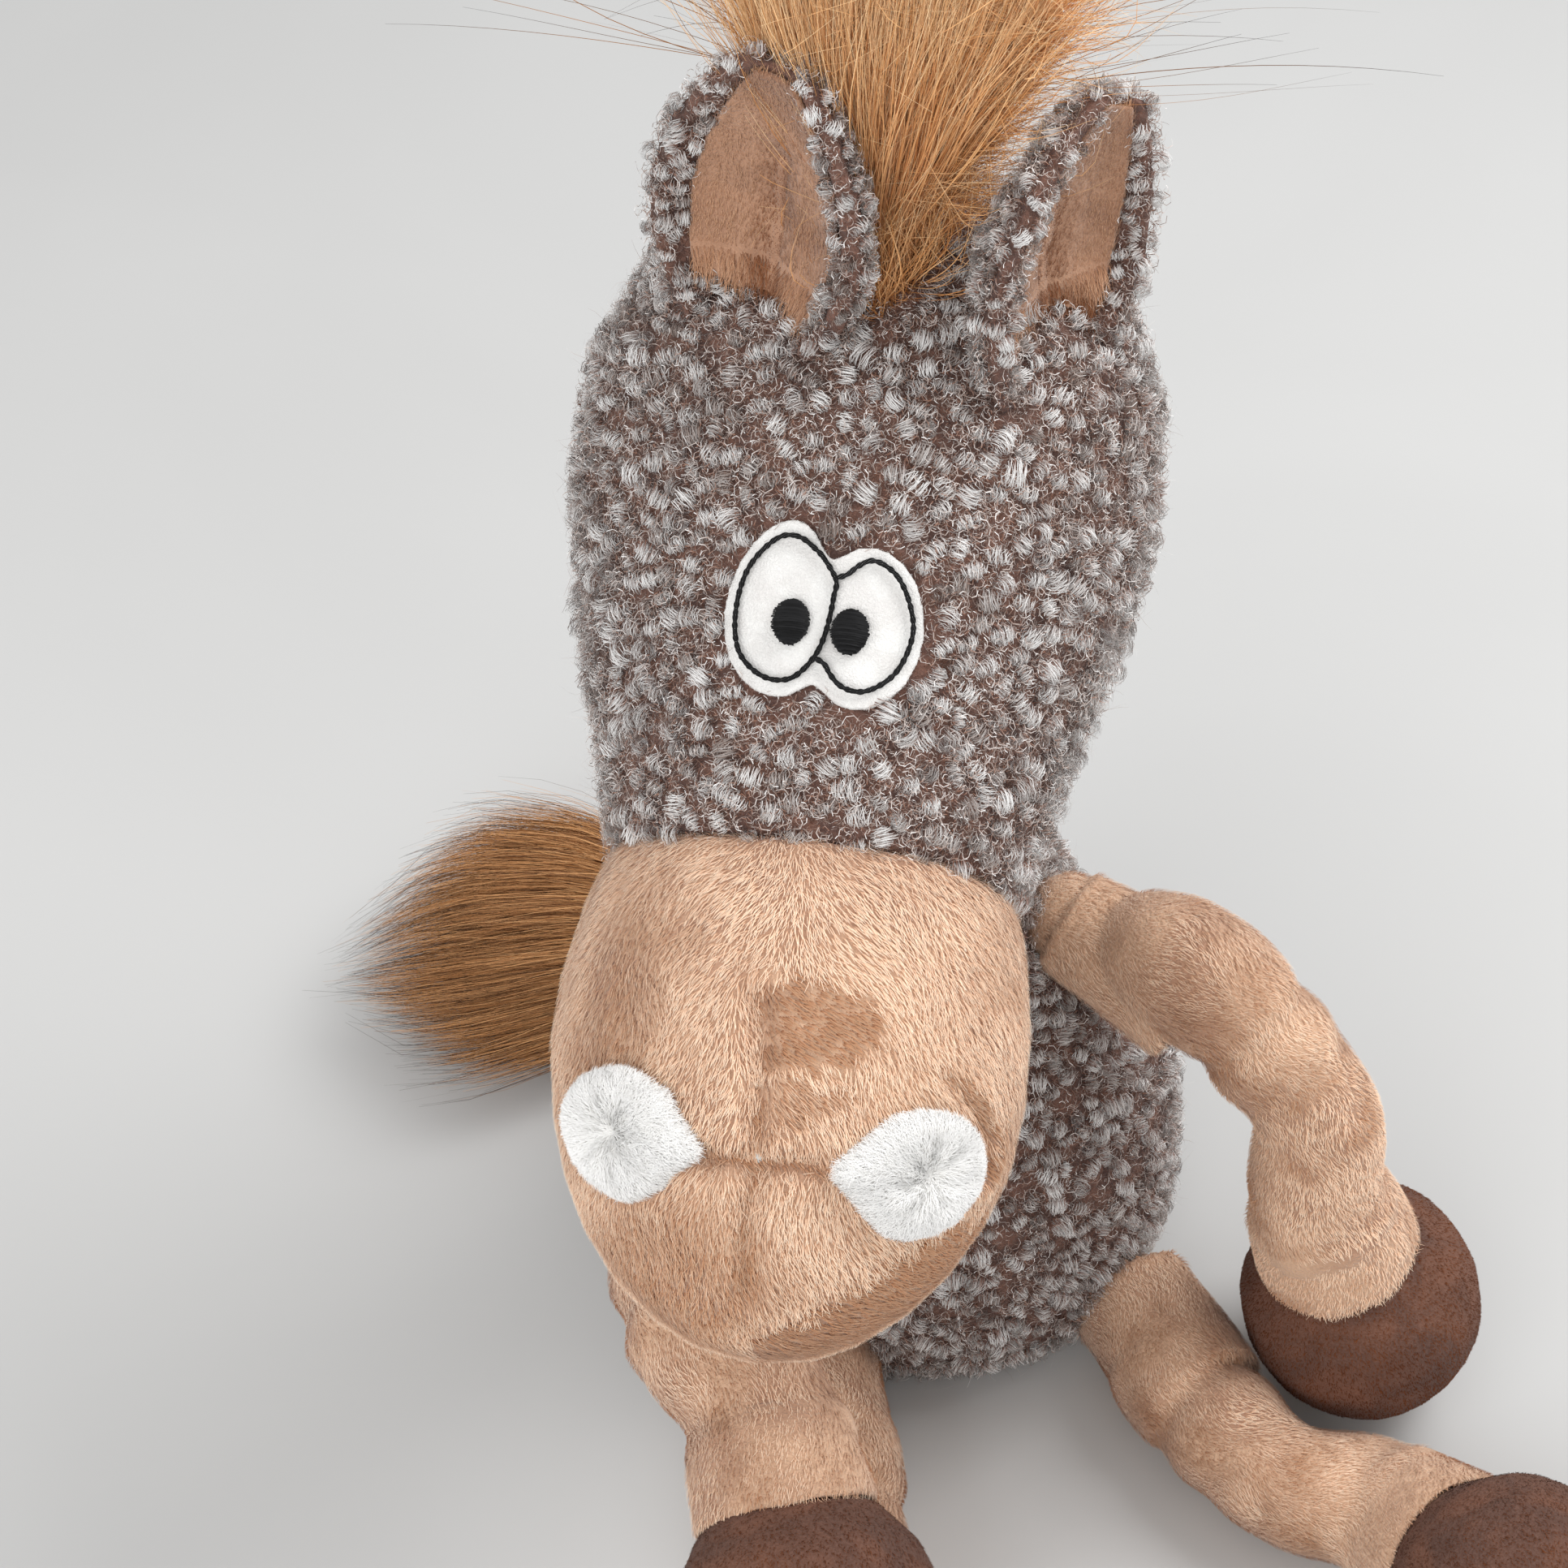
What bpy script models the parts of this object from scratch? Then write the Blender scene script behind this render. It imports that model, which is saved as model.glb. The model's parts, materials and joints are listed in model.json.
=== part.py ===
"""A sitting plush horse: pear-shaped body, long plush head, leaf ears, tube limbs and round hooves.

Metres, +Z up, the horse faces -Y and its own left is +X. The origin is the middle of the seat, on the floor.
Values that end in _share or _shares are shares of the sizes that they follow.
"""

import math

import bmesh
import bpy
from mathutils import Vector

# Cloth and clearances
GAP = 0.0003
COVER = 0.0022
FELT = 0.0012
THREAD = 0.0012
LINING = 0.0014
EAR_GAP = 0.0009
TRIM_GAP = 0.0005

# Body
TORSO_HEIGHT = 0.138
TORSO_RADIUS = 0.061
TORSO_LEAN = 0.011
PELLET_BAG_INSET = 0.0075

# Neck
NECK_RADIUS = 0.033
NECK_LENGTH = 0.049
NECK_BALL_RADIUS = 0.032
NECK_LEAN = 0.002

# Head and muzzle
HEAD_LENGTH = 0.141
HEAD_HALF_WIDTH = 0.055
HEAD_HALF_DEPTH = 0.046
HEAD_RISE = 0.065
HEAD_SHIFT = 0.004
MUZZLE_LENGTH = 0.090
MUZZLE_HALF_WIDTH = 0.0445
MUZZLE_HALF_DEPTH = 0.0425
NOSTRIL_WIDTH = 0.026
NOSTRIL_HEIGHT = 0.021
NOSTRIL_RISE = 0.0045
EYE_PATCH_WIDTH = 0.037
EYE_PATCH_LENGTH = 0.033
PUPIL_WIDTH = 0.0068
PUPIL_LENGTH = 0.0086
PUPIL_RISE = 0.0022

# Ears, mane and tail
EAR_LENGTH = 0.063
EAR_HALF_WIDTH = 0.021
EAR_CUP = 0.011
EAR_THICKNESS = 0.004
EAR_ROOT_DEPTH = 0.004
EAR_HINGE_FORWARD = 0.004
MANE_HEIGHT = 0.060
MANE_LENGTH = 0.052
MANE_START = 0.006
MANE_HALF_WIDTH = 0.018
TAIL_LENGTH = 0.138
TAIL_HALF_WIDTH = 0.044
TAIL_HALF_DEPTH = 0.022
TAIL_ROOT_RADIUS = 0.006

# Limbs
ARM_LENGTH = 0.124
ARM_RADIUS = 0.0155
LEG_LENGTH = 0.102
LEG_RADIUS = 0.0155
ROOT_BALL_RADIUS = 0.011
ROOT_BALL_OUT = 0.0045
CUFF_RADIUS = 0.0178
CUFF_LENGTH = 0.011
CUFF_LIFT = 0.0062
WRIST_BALL_RADIUS = 0.009
WRIST_PIN_RADIUS = 0.006
HOOF_RADIUS = 0.028
HOOF_REACH = 0.024

# Directions, as parts of a unit length
UP = Vector((0, 0, 1))
ACROSS = Vector((1, 0, 0))
HEAD_AIM = Vector((-0.127, -0.848, -0.515)).normalized()
HEAD_SIDE = HEAD_AIM.cross(UP).normalized() * -1
HEAD_TOP = HEAD_AIM.cross(HEAD_SIDE).normalized()

# Height, radius and lean of the body
TORSO_SHARES = (
    (0.000, 0.72, 0.00),
    (0.030, 0.84, 0.00),
    (0.090, 0.94, 0.00),
    (0.190, 0.99, 0.00),
    (0.310, 1.00, 0.00),
    (0.440, 0.95, 0.03),
    (0.580, 0.82, 0.15),
    (0.720, 0.69, 0.36),
    (0.860, 0.60, 0.70),
    (1.000, 0.55, 1.00),
)
PELLET_TOP_SHARE = TORSO_SHARES[3][0]
# Height and radius of the neck, below its ball
NECK_SHARES = ((0.00, 1.00), (0.25, 1.00), (0.50, 0.95))
NECK_WAIST_SHARE = 0.90
# Place along the head from the crown to the muzzle seam, half width and half depth
HEAD_SHARES = (
    (-0.300, 0.36, 0.38),
    (-0.250, 0.60, 0.62),
    (-0.150, 0.86, 0.87),
    (0.000, 1.00, 1.00),
    (0.180, 1.00, 1.00),
    (0.350, 0.91, 0.93),
    (0.530, 0.78, 0.85),
    (0.688, 0.69, 0.78),
)
HEAD_BACK_SHARE = -0.312
MUZZLE_SHARES = (
    (0.00, 0.86),
    (0.11, 0.93),
    (0.27, 0.99),
    (0.42, 1.00),
    (0.56, 0.96),
    (0.67, 0.88),
    (0.78, 0.76),
    (0.87, 0.61),
    (0.94, 0.43),
    (0.98, 0.25),
)
# Thickness of the cover, and depth of its filling, at the muzzle's tip
TIP_COVER_SHARE = 2
TIP_FILLING_SHARE = 3

# Limb places. A root is an angle round the body and a height. The rest are shares of the limb's length
LIMBS = {
    "arm_left": {
        "upper": "upper_arm_left",
        "lower": "forearm_left",
        "hoof": "hand_hoof_left",
        "root_angle_share": -0.055,
        "root_height_share": 0.877,
        "middle_share": (0.345, -0.215, -0.090),
        "end_share": (0.510, -0.290, -0.560),
        "root_aim": (0.80, -0.55, 0.14),
        "middle_aim": (0.62, -0.25, -0.75),
        "end_aim": (0.36, 0.00, -0.93),
    },
    "arm_right": {
        "upper": "upper_arm_right",
        "lower": "forearm_right",
        "hoof": "hand_hoof_right",
        "root_angle_share": -0.368,
        "root_height_share": 0.870,
        "middle_share": (-0.165, -0.455, -0.120),
        "end_share": (0.020, -0.925, -0.235),
        "root_aim": (-0.45, -0.88, -0.10),
        "middle_aim": (0.02, -0.98, -0.14),
        "end_aim": (0.20, -0.90, -0.38),
    },
    "leg_left": {
        "upper": "thigh_left",
        "lower": "shin_left",
        "hoof": "foot_hoof_left",
        "root_angle_share": -0.108,
        "root_height_share": 0.123,
        "middle_share": (0.190, -0.370, 0.000),
        "end_share": (0.630, -0.690, 0.030),
        "root_aim": (0.40, -0.92, 0.00),
        "middle_aim": (0.60, -0.80, 0.00),
        "end_aim": (0.52, -0.78, 0.34),
    },
    "leg_right": {
        "upper": "thigh_right",
        "lower": "shin_right",
        "hoof": "foot_hoof_right",
        "root_angle_share": -0.318,
        "root_height_share": 0.123,
        "middle_share": (0.060, -0.480, 0.000),
        "end_share": (0.050, -1.000, 0.030),
        "root_aim": (0.20, -0.98, 0.00),
        "middle_aim": (0.05, -1.00, 0.00),
        "end_aim": (-0.02, -0.94, 0.34),
    },
}
FULL_SHARE = 0.45
NECKING_SHARE = 0.80
WAIST_SHARE = 0.90
BEND_LIMIT = math.radians(42)
# Ends of the turned cuff's flat band
CUFF_BAND_SHARES = (0.15, 0.85)
# A way across each kind of limb, from which its rings are turned
ARM_SIDE = Vector((0.3, -0.9, 0.3))
LEG_SIDE = UP

# Eye patch and its thread, in shares of the patch: across, and down towards the muzzle
EYE_PATCH_SHARES = (
    (0.00, -0.32),
    (0.12, -0.40),
    (0.27, -0.40),
    (0.42, -0.26),
    (0.49, 0.02),
    (0.42, 0.30),
    (0.26, 0.46),
    (0.10, 0.46),
    (-0.02, 0.36),
    (-0.14, 0.44),
    (-0.30, 0.42),
    (-0.45, 0.26),
    (-0.51, 0.00),
    (-0.46, -0.27),
    (-0.34, -0.46),
    (-0.20, -0.53),
    (-0.09, -0.46),
)
LEFT_EYE_THREAD_SHARES = (
    (0.085, -0.24),
    (0.19, -0.33),
    (0.33, -0.25),
    (0.42, 0.00),
    (0.36, 0.25),
    (0.22, 0.38),
    (0.10, 0.36),
    (0.025, 0.26),
)
RIGHT_EYE_THREAD_SHARES = (
    (0.035, -0.20),
    (0.025, 0.00),
    (-0.015, 0.20),
    (-0.12, 0.35),
    (-0.26, 0.35),
    (-0.39, 0.22),
    (-0.43, 0.00),
    (-0.39, -0.24),
    (-0.26, -0.41),
    (-0.14, -0.41),
    (-0.03, -0.31),
)
# Rings of the patch, as shares of its outline, from the edge to the middle
PATCH_RING_SHARES = (1, 0.66, 0.33)
EYE_PLACE_SHARE = 0.411
PUPIL_SHARES = {"pupil_right": (-0.155, 0.045), "pupil_left": (0.125, 0.070)}
# Rise and size of the pupil's rings
PUPIL_RING_SHARES = ((0.00, 1.00), (0.50, 0.90), (0.85, 0.55))
NOSTRIL_SHARES = {"nostril_right": (0.62, -0.105), "nostril_left": (0.63, 0.120)}
# Size and rise of the nostril's rings, and the rise of its sewn middle
NOSTRIL_RING_SHARES = ((0.50, 0.0), (1.00, 0.0), (0.92, 0.62), (0.66, 1.00), (0.36, 0.90), (0.14, 0.55))
DIMPLE_SHARE = 0.35

# Ears: place on the head as along and round shares, aim of the leaf and aim of its open side
EARS = {
    "ear_right": {
        "along_share": 0.057,
        "round_share": -0.078,
        "aim": (0.14, 0.06, 0.99),
        "open": (-0.60, -0.76, 0.10),
    },
    "ear_left": {
        "along_share": 0.085,
        "round_share": 0.112,
        "aim": (0.24, 0.42, 0.88),
        "open": (0.75, -0.60, 0.10),
    },
}
EAR_OUTLINE_SHARES = ((0.00, 0.36), (0.10, 0.62), (0.28, 0.92), (0.46, 1.00), (0.66, 0.84), (0.84, 0.52), (0.95, 0.24))
EAR_ACROSS_SHARES = (-1, -0.75, -0.5, -0.25, 0, 0.25, 0.5, 0.75, 1)
LINING_START_SHARE = 0.18
LINING_END_SHARE = 0.93
LINING_WIDTH_SHARE = 0.74
EAR_WRAP = math.radians(75)

# Mane: height, half width and half length. Tail: place along, half width, half depth, swing to the side
MANE_SHARES = ((-0.30, 0.22, 0.86), (0.20, 0.30, 0.92), (0.50, 0.55, 1.00), (0.80, 0.85, 1.00), (0.94, 0.78, 0.80))
TAIL_SHARES = (
    (0.13, 0.20, 0.30, 0.055),
    (0.30, 0.50, 0.62, 0.100),
    (0.52, 0.82, 0.92, 0.090),
    (0.74, 1.00, 1.00, 0.055),
    (0.92, 0.76, 0.80, 0.020),
)
# Rings of the tail's round root, as shares of a right angle
TAIL_ROOT_RING_SHARES = (-0.5, 0.0, 0.5)
TAIL_ANGLE_SHARE = 0.285
TAIL_HEIGHT_SHARE = 0.20

# Facets
BODY_SIDES = 24
LIMB_SIDES = 12
BALL_STEPS = 4
HOOF_STEPS = 7
THREAD_SIDES = 6
RUN_STEPS = 5
OUTLINE_STEPS = 2
SHARP_ANGLE = math.radians(50)

pivots = {}


def clear_scene():
    for obj in list(bpy.data.objects):
        bpy.data.objects.remove(obj, do_unlink=True)


def cloth(name, colour, roughness=0.9):
    """A plain finish for one kind of cloth, thread or fibre."""
    made = bpy.data.materials.new(name)
    made.use_nodes = True
    shader = made.node_tree.nodes["Principled BSDF"]
    shader.inputs["Base Color"].default_value = (*colour, 1)
    shader.inputs["Roughness"].default_value = roughness
    shader.inputs["Metallic"].default_value = 0
    return made


def pivot(name, place, parent=None):
    """An empty on a joint's axis, which carries the pieces that move with it."""
    empty = bpy.data.objects.new(name, None)
    bpy.context.collection.objects.link(empty)
    offset = place.copy()
    if parent:
        empty.parent = pivots[parent][0]
        offset -= pivots[parent][1]
    empty.location = offset
    pivots[name] = (empty, place.copy())


def solid(name, rings, material, carrier=None):
    """A closed solid whose surface runs through the rings in turn. A ring of one point is a closed end."""
    origin = pivots[carrier][1] if carrier else Vector((0, 0, 0))
    mesh_points = []
    starts = []
    for ring in rings:
        starts.append(len(mesh_points))
        mesh_points.extend(point - origin for point in ring)
    faces = []
    closed_round = len(rings[0]) > 1
    for index in range(len(rings) if closed_round else len(rings) - 1):
        following = (index + 1) % len(rings)
        first = [starts[index] + step for step in range(len(rings[index]))]
        second = [starts[following] + step for step in range(len(rings[following]))]
        count = max(len(first), len(second))
        for step in range(count):
            corners = [
                first[step % len(first)],
                first[(step + 1) % len(first)],
                second[(step + 1) % len(second)],
                second[step % len(second)],
            ]
            faces.append(list(dict.fromkeys(corners)))
    mesh = bpy.data.meshes.new(name)
    mesh.from_pydata(mesh_points, [], faces)
    shape = bmesh.new()
    shape.from_mesh(mesh)
    bmesh.ops.recalc_face_normals(shape, faces=shape.faces)
    shape.to_mesh(mesh)
    shape.free()
    mesh.shade_smooth()
    mesh.set_sharp_from_angle(angle=SHARP_ANGLE)
    if material:
        mesh.materials.append(material)
    obj = bpy.data.objects.new(name, mesh)
    bpy.context.collection.objects.link(obj)
    if carrier:
        obj.parent = pivots[carrier][0]
    return obj


def hide_cutter(obj):
    obj.hide_render = True
    obj.display_type = "WIRE"


def cut(obj, cutter, solver="EXACT"):
    """Takes the cutter's space out of the piece."""
    modifier = obj.modifiers.new("cut_" + cutter.name, "BOOLEAN")
    modifier.operation = "DIFFERENCE"
    modifier.object = cutter
    modifier.solver = solver


def join(name, pieces):
    """Joins separate closed shapes into one cutter."""
    points = []
    faces = []
    for piece in pieces:
        start = len(points)
        points.extend(piece.matrix_world @ vertex.co for vertex in piece.data.vertices)
        faces.extend([start + index for index in face.vertices] for face in piece.data.polygons)
        bpy.data.objects.remove(piece, do_unlink=True)
    mesh = bpy.data.meshes.new(name)
    mesh.from_pydata(points, [], faces)
    obj = bpy.data.objects.new(name, mesh)
    bpy.context.collection.objects.link(obj)
    hide_cutter(obj)
    return obj


def oval(centre, side, top, half_width, half_depth, sides=BODY_SIDES):
    """A ring of points round a centre."""
    turn = 2 * math.pi / sides
    return [
        centre + side * (half_width * math.cos(step * turn)) + top * (half_depth * math.sin(step * turn))
        for step in range(sides)
    ]


def smooth(table, place):
    """Reads a table of shares between its rows with a smooth curve. The first column is the place."""
    last = len(table) - 1
    row = max(index for index in range(last) if index == 0 or table[index][0] <= place)
    before, start, end, after = (table[min(max(row + step, 0), last)] for step in (-1, 0, 1, 2))
    part = (place - start[0]) / (end[0] - start[0])
    found = []
    for column in range(1, len(start)):
        into = (end[column] - before[column]) / (end[0] - before[0]) * (end[0] - start[0])
        out = (after[column] - start[column]) / (after[0] - start[0]) * (end[0] - start[0])
        found.append(
            start[column] * (2 * part**3 - 3 * part**2 + 1)
            + into * (part**3 - 2 * part**2 + part)
            + end[column] * (3 * part**2 - 2 * part**3)
            + out * (part**3 - part**2)
        )
    return found


def loop_curve(points, closed):
    """A smooth line through points chosen by hand."""
    count = len(points)
    found = []
    for index in range(count if closed else count - 1):
        around = []
        for step in (-1, 0, 1, 2):
            place = (index + step) % count if closed else min(max(index + step, 0), count - 1)
            around.append(Vector(points[place]))
        for step in range(OUTLINE_STEPS):
            part = step / OUTLINE_STEPS
            found.append(
                (
                    around[1] * 2
                    + (around[2] - around[0]) * part
                    + (around[0] * 2 - around[1] * 5 + around[2] * 4 - around[3]) * part**2
                    + (around[1] * 3 - around[0] - around[2] * 3 + around[3]) * part**3
                )
                / 2
            )
    if not closed:
        found.append(Vector(points[-1]))
    return found


def facet_growth(sides, step):
    """How much a hollow of so many sides, and so wide a step between rings, grows to clear a ball."""
    return 1 / (math.cos(math.pi / sides) * math.cos(step / 2))


def sphere(name, centre, radius, sides=LIMB_SIDES):
    """A ball for cutting, grown so that its flats stay outside the radius."""
    steps = sides // 2
    grown = radius * facet_growth(sides, math.pi / steps)
    rings = [[centre - UP * grown]]
    for step in range(1, steps):
        angle = math.pi * step / steps
        middle = centre - UP * (grown * math.cos(angle))
        size = grown * math.sin(angle)
        rings.append(oval(middle, ACROSS, UP.cross(ACROSS), size, size, sides))
    rings.append([centre + UP * grown])
    return solid(name, rings, None)


def torso_place(height_share):
    """Centre and radius of the body at a height."""
    radius_share, lean_share = smooth(TORSO_SHARES, height_share)
    centre = Vector((-TORSO_LEAN * lean_share, 0, TORSO_HEIGHT * height_share))
    return centre, TORSO_RADIUS * radius_share


def on_torso(angle_share, height_share, out):
    """A point off the body's surface. A turn of the angle starts at +X and goes against the clock."""
    centre, radius = torso_place(height_share)
    angle = 2 * math.pi * angle_share
    return centre + Vector((math.cos(angle), math.sin(angle), 0)) * (radius + out)


def torso_ring(height_share, inset, height=None):
    centre, radius = torso_place(height_share)
    if height is not None:
        centre.z = height
    return oval(centre, ACROSS, UP.cross(ACROSS), radius - inset, radius - inset)


def make_torso(plush, fibre, pellets):
    """The cover, open at the neck, its filling and the pellet bag in the seat."""
    outer = [torso_ring(row[0], 0) for row in TORSO_SHARES]
    inner = [torso_ring(row[0], COVER) for row in TORSO_SHARES[2:]]
    floor_ring = torso_ring(TORSO_SHARES[1][0], COVER, COVER)
    rings = [[Vector((0, 0, 0))], *outer, *reversed(inner), floor_ring, [UP * COVER]]
    cover = solid("torso_cover", rings, plush)
    inset = COVER + GAP
    bag_height = TORSO_HEIGHT * PELLET_TOP_SHARE
    low_rings = [torso_ring(row[0], PELLET_BAG_INSET) for row in TORSO_SHARES[2:] if row[0] <= PELLET_TOP_SHARE]
    bag_floor = torso_ring(TORSO_SHARES[1][0], PELLET_BAG_INSET, inset)
    solid("pellet_bag", [[UP * inset], bag_floor, *low_rings, [UP * bag_height]], pellets)
    fill_floor = torso_ring(PELLET_TOP_SHARE, inset, bag_height + GAP)
    fill = [torso_ring(row[0], inset) for row in TORSO_SHARES if row[0] > PELLET_TOP_SHARE]
    top_centre = torso_place(1)[0]
    filling = solid("torso_stuffing", [[UP * (bag_height + GAP)], fill_floor, *fill, [top_centre]], fibre)
    return cover, filling


def neck_places():
    """The middle of the neck's foot, and the middle of the ball on its top."""
    foot = torso_place(1)[0] + UP * GAP
    return foot, foot + Vector((-NECK_LEAN, HEAD_SHIFT, NECK_LENGTH))


def make_neck(plush):
    foot, ball = neck_places()
    waist = NECK_RADIUS * NECK_WAIST_SHARE
    rings = [[foot]]
    for height_share, radius_share in NECK_SHARES:
        radius = NECK_RADIUS * radius_share
        rings.append(oval(foot.lerp(ball, height_share), ACROSS, UP.cross(ACROSS), radius, radius))
    start = -math.acos(waist / NECK_BALL_RADIUS)
    steps = 2 * BALL_STEPS
    for step in range(steps):
        angle = start + (math.pi / 2 - start) * step / steps
        radius = NECK_BALL_RADIUS * math.cos(angle)
        centre = ball + UP * (NECK_BALL_RADIUS * math.sin(angle))
        rings.append(oval(centre, ACROSS, UP.cross(ACROSS), radius, radius))
    rings.append([ball + UP * NECK_BALL_RADIUS])
    solid("neck", rings, plush, "neck_pivot")


def crown():
    """The middle of the head at its crown."""
    return neck_places()[1] + Vector((-NECK_LEAN, 0, HEAD_RISE))


def head_sizes(along_share):
    width_share, depth_share = smooth(HEAD_SHARES, along_share)
    return HEAD_HALF_WIDTH * width_share, HEAD_HALF_DEPTH * depth_share


def head_ring(along_share, inset, shift=0):
    width, depth = head_sizes(along_share)
    centre = crown() + HEAD_AIM * (HEAD_LENGTH * along_share + shift)
    return oval(centre, HEAD_SIDE, HEAD_TOP, width - inset, depth - inset)


def on_head(along_share, round_angle, lift):
    """A point over the head's surface. The angle is 0 at the top and grows to the horse's left."""
    width, depth = head_sizes(along_share)
    centre = crown() + HEAD_AIM * (HEAD_LENGTH * along_share)
    side = HEAD_SIDE * math.sin(round_angle)
    top = HEAD_TOP * math.cos(round_angle)
    normal = (side / width + top / depth).normalized()
    return centre + side * width + top * depth + normal * lift


def seam_place():
    return HEAD_SHARES[-1][0]


def make_head(curls, fibre):
    """The sleeve, open at the muzzle seam, and its filling. Both are hollowed for the neck's ball."""
    places = [row[0] for row in HEAD_SHARES]
    back = crown() + HEAD_AIM * (HEAD_LENGTH * HEAD_BACK_SHARE)
    outer = [head_ring(place, 0) for place in places]
    inner = [head_ring(place, COVER) for place in places]
    inner_back = [back + HEAD_AIM * COVER]
    cover = solid("head_cover", [[back], *outer, *reversed(inner[1:]), inner_back], curls, "head_pivot")
    inset = COVER + GAP
    fill = [head_ring(place, inset) for place in places[1:]]
    filling_end = [crown() + HEAD_AIM * (HEAD_LENGTH * seam_place())]
    filling = solid("head_stuffing", [[back + HEAD_AIM * inset], *fill, filling_end], fibre, "head_pivot")
    return cover, filling


def head_cutter(name, clearance):
    """The head's space and a clearance over it."""
    shell = [head_ring(row[0], -clearance) for row in HEAD_SHARES]
    back = crown() + HEAD_AIM * (HEAD_LENGTH * HEAD_BACK_SHARE - clearance)
    end = crown() + HEAD_AIM * (HEAD_LENGTH * seam_place())
    cutter = solid(name, [[back], *shell, [end]], None, "head_pivot")
    hide_cutter(cutter)
    return cutter


def muzzle_sizes(along_share):
    share = smooth([(row[0], row[1]) for row in MUZZLE_SHARES], along_share)[0]
    return MUZZLE_HALF_WIDTH * share, MUZZLE_HALF_DEPTH * share


def muzzle_start():
    return crown() + HEAD_AIM * (HEAD_LENGTH * seam_place() + GAP)


def muzzle_ring(along_share, inset):
    width, depth = muzzle_sizes(along_share)
    centre = muzzle_start() + HEAD_AIM * (MUZZLE_LENGTH * along_share)
    return oval(centre, HEAD_SIDE, HEAD_TOP, width - inset, depth - inset)


def on_muzzle(along_share, round_angle, lift):
    width, depth = muzzle_sizes(along_share)
    centre = muzzle_start() + HEAD_AIM * (MUZZLE_LENGTH * along_share)
    side = HEAD_SIDE * math.sin(round_angle)
    top = HEAD_TOP * math.cos(round_angle)
    normal = (side / width + top / depth).normalized()
    return centre + side * width + top * depth + normal * lift


def make_muzzle(plush, fibre):
    """The round cover, open at the seam, and its filling."""
    places = [row[0] for row in MUZZLE_SHARES]
    tip = muzzle_start() + HEAD_AIM * MUZZLE_LENGTH
    outer = [muzzle_ring(place, 0) for place in places]
    inner = [muzzle_ring(place, COVER) for place in places[:-1]]
    rings = [[tip], *reversed(outer), *inner, [tip - HEAD_AIM * (COVER * TIP_COVER_SHARE)]]
    solid("muzzle_cover", rings, plush, "head_pivot")
    inset = COVER + GAP
    fill = [muzzle_ring(place, inset) for place in places[:-2]]
    fill_tip = tip - HEAD_AIM * (inset * TIP_FILLING_SHARE)
    solid("muzzle_stuffing", [[fill_tip], *reversed(fill), [muzzle_start()]], fibre, "head_pivot")


def on_patch(across_share, down_share, lift):
    """A point of the eye patch, laid over the head."""
    along = EYE_PLACE_SHARE + EYE_PATCH_LENGTH * down_share / HEAD_LENGTH
    width = head_sizes(along)[0]
    return on_head(along, EYE_PATCH_WIDTH * across_share / width, lift)


def make_eye_patch(felt):
    """One felt piece with two lobes, cut flat and laid over the head."""
    outline = loop_curve(EYE_PATCH_SHARES, True)
    rings = [[on_patch(0, 0, GAP)]]
    for level in reversed(PATCH_RING_SHARES):
        rings.append([on_patch(point.x * level, point.y * level, GAP) for point in outline])
    for level in PATCH_RING_SHARES:
        rings.append([on_patch(point.x * level, point.y * level, GAP + FELT) for point in outline])
    rings.append([on_patch(0, 0, GAP + FELT)])
    solid("eye_patch", rings, felt, "head_pivot")


def make_thread(name, shares, black):
    """Thick thread laid on the felt, one open run."""
    line = loop_curve(shares, False)
    lift = GAP + FELT + TRIM_GAP + THREAD / 2
    route = [on_patch(point.x, point.y, lift) for point in line]
    rings = [[route[0]]]
    for index, place in enumerate(route):
        before = route[max(index - 1, 0)]
        after = route[min(index + 1, len(route) - 1)]
        aim = (after - before).normalized()
        out = (on_patch(line[index].x, line[index].y, lift + THREAD) - place).normalized()
        side = aim.cross(out).normalized()
        rings.append(oval(place, side, out, THREAD / 2, THREAD / 2, THREAD_SIDES))
    rings.append([route[-1]])
    solid(name, rings, black, "head_pivot")


def make_pupil(name, black):
    """A small domed oval on the felt."""
    across_share, down_share = PUPIL_SHARES[name]
    lift = GAP + FELT + TRIM_GAP
    rings = [[on_patch(across_share, down_share, lift)]]
    turn = 2 * math.pi / LIMB_SIDES
    for rise_share, size_share in PUPIL_RING_SHARES:
        across = PUPIL_WIDTH / EYE_PATCH_WIDTH / 2 * size_share
        down = PUPIL_LENGTH / EYE_PATCH_LENGTH / 2 * size_share
        ring = []
        for step in range(LIMB_SIDES):
            place = (across_share + across * math.cos(step * turn), down_share + down * math.sin(step * turn))
            ring.append(on_patch(*place, lift + PUPIL_RISE * rise_share))
        rings.append(ring)
    rings.append([on_patch(across_share, down_share, lift + PUPIL_RISE)])
    solid(name, rings, black, "head_pivot")


def make_nostril(name, felt):
    """A white pad laid over the muzzle, sewn in at its middle."""
    along_share, round_share = NOSTRIL_SHARES[name]
    angle = 2 * math.pi * round_share
    width = muzzle_sizes(along_share)[0]

    def spot(across, down, lift):
        return on_muzzle(along_share + down / MUZZLE_LENGTH, angle + across / width, lift)

    rings = [[spot(0, 0, GAP)]]
    turn = 2 * math.pi / BODY_SIDES
    for size_share, rise_share in NOSTRIL_RING_SHARES:
        ring = []
        for step in range(BODY_SIDES):
            across = NOSTRIL_WIDTH / 2 * size_share * math.cos(step * turn)
            down = NOSTRIL_HEIGHT / 2 * size_share * math.sin(step * turn)
            ring.append(spot(across, down, GAP + NOSTRIL_RISE * rise_share))
        rings.append(ring)
    rings.append([spot(0, 0, GAP + NOSTRIL_RISE * DIMPLE_SHARE)])
    solid(name, rings, felt, "head_pivot")


def ear_base(side):
    ear = EARS[side]
    return on_head(ear["along_share"], 2 * math.pi * ear["round_share"], -EAR_ROOT_DEPTH)


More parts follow.
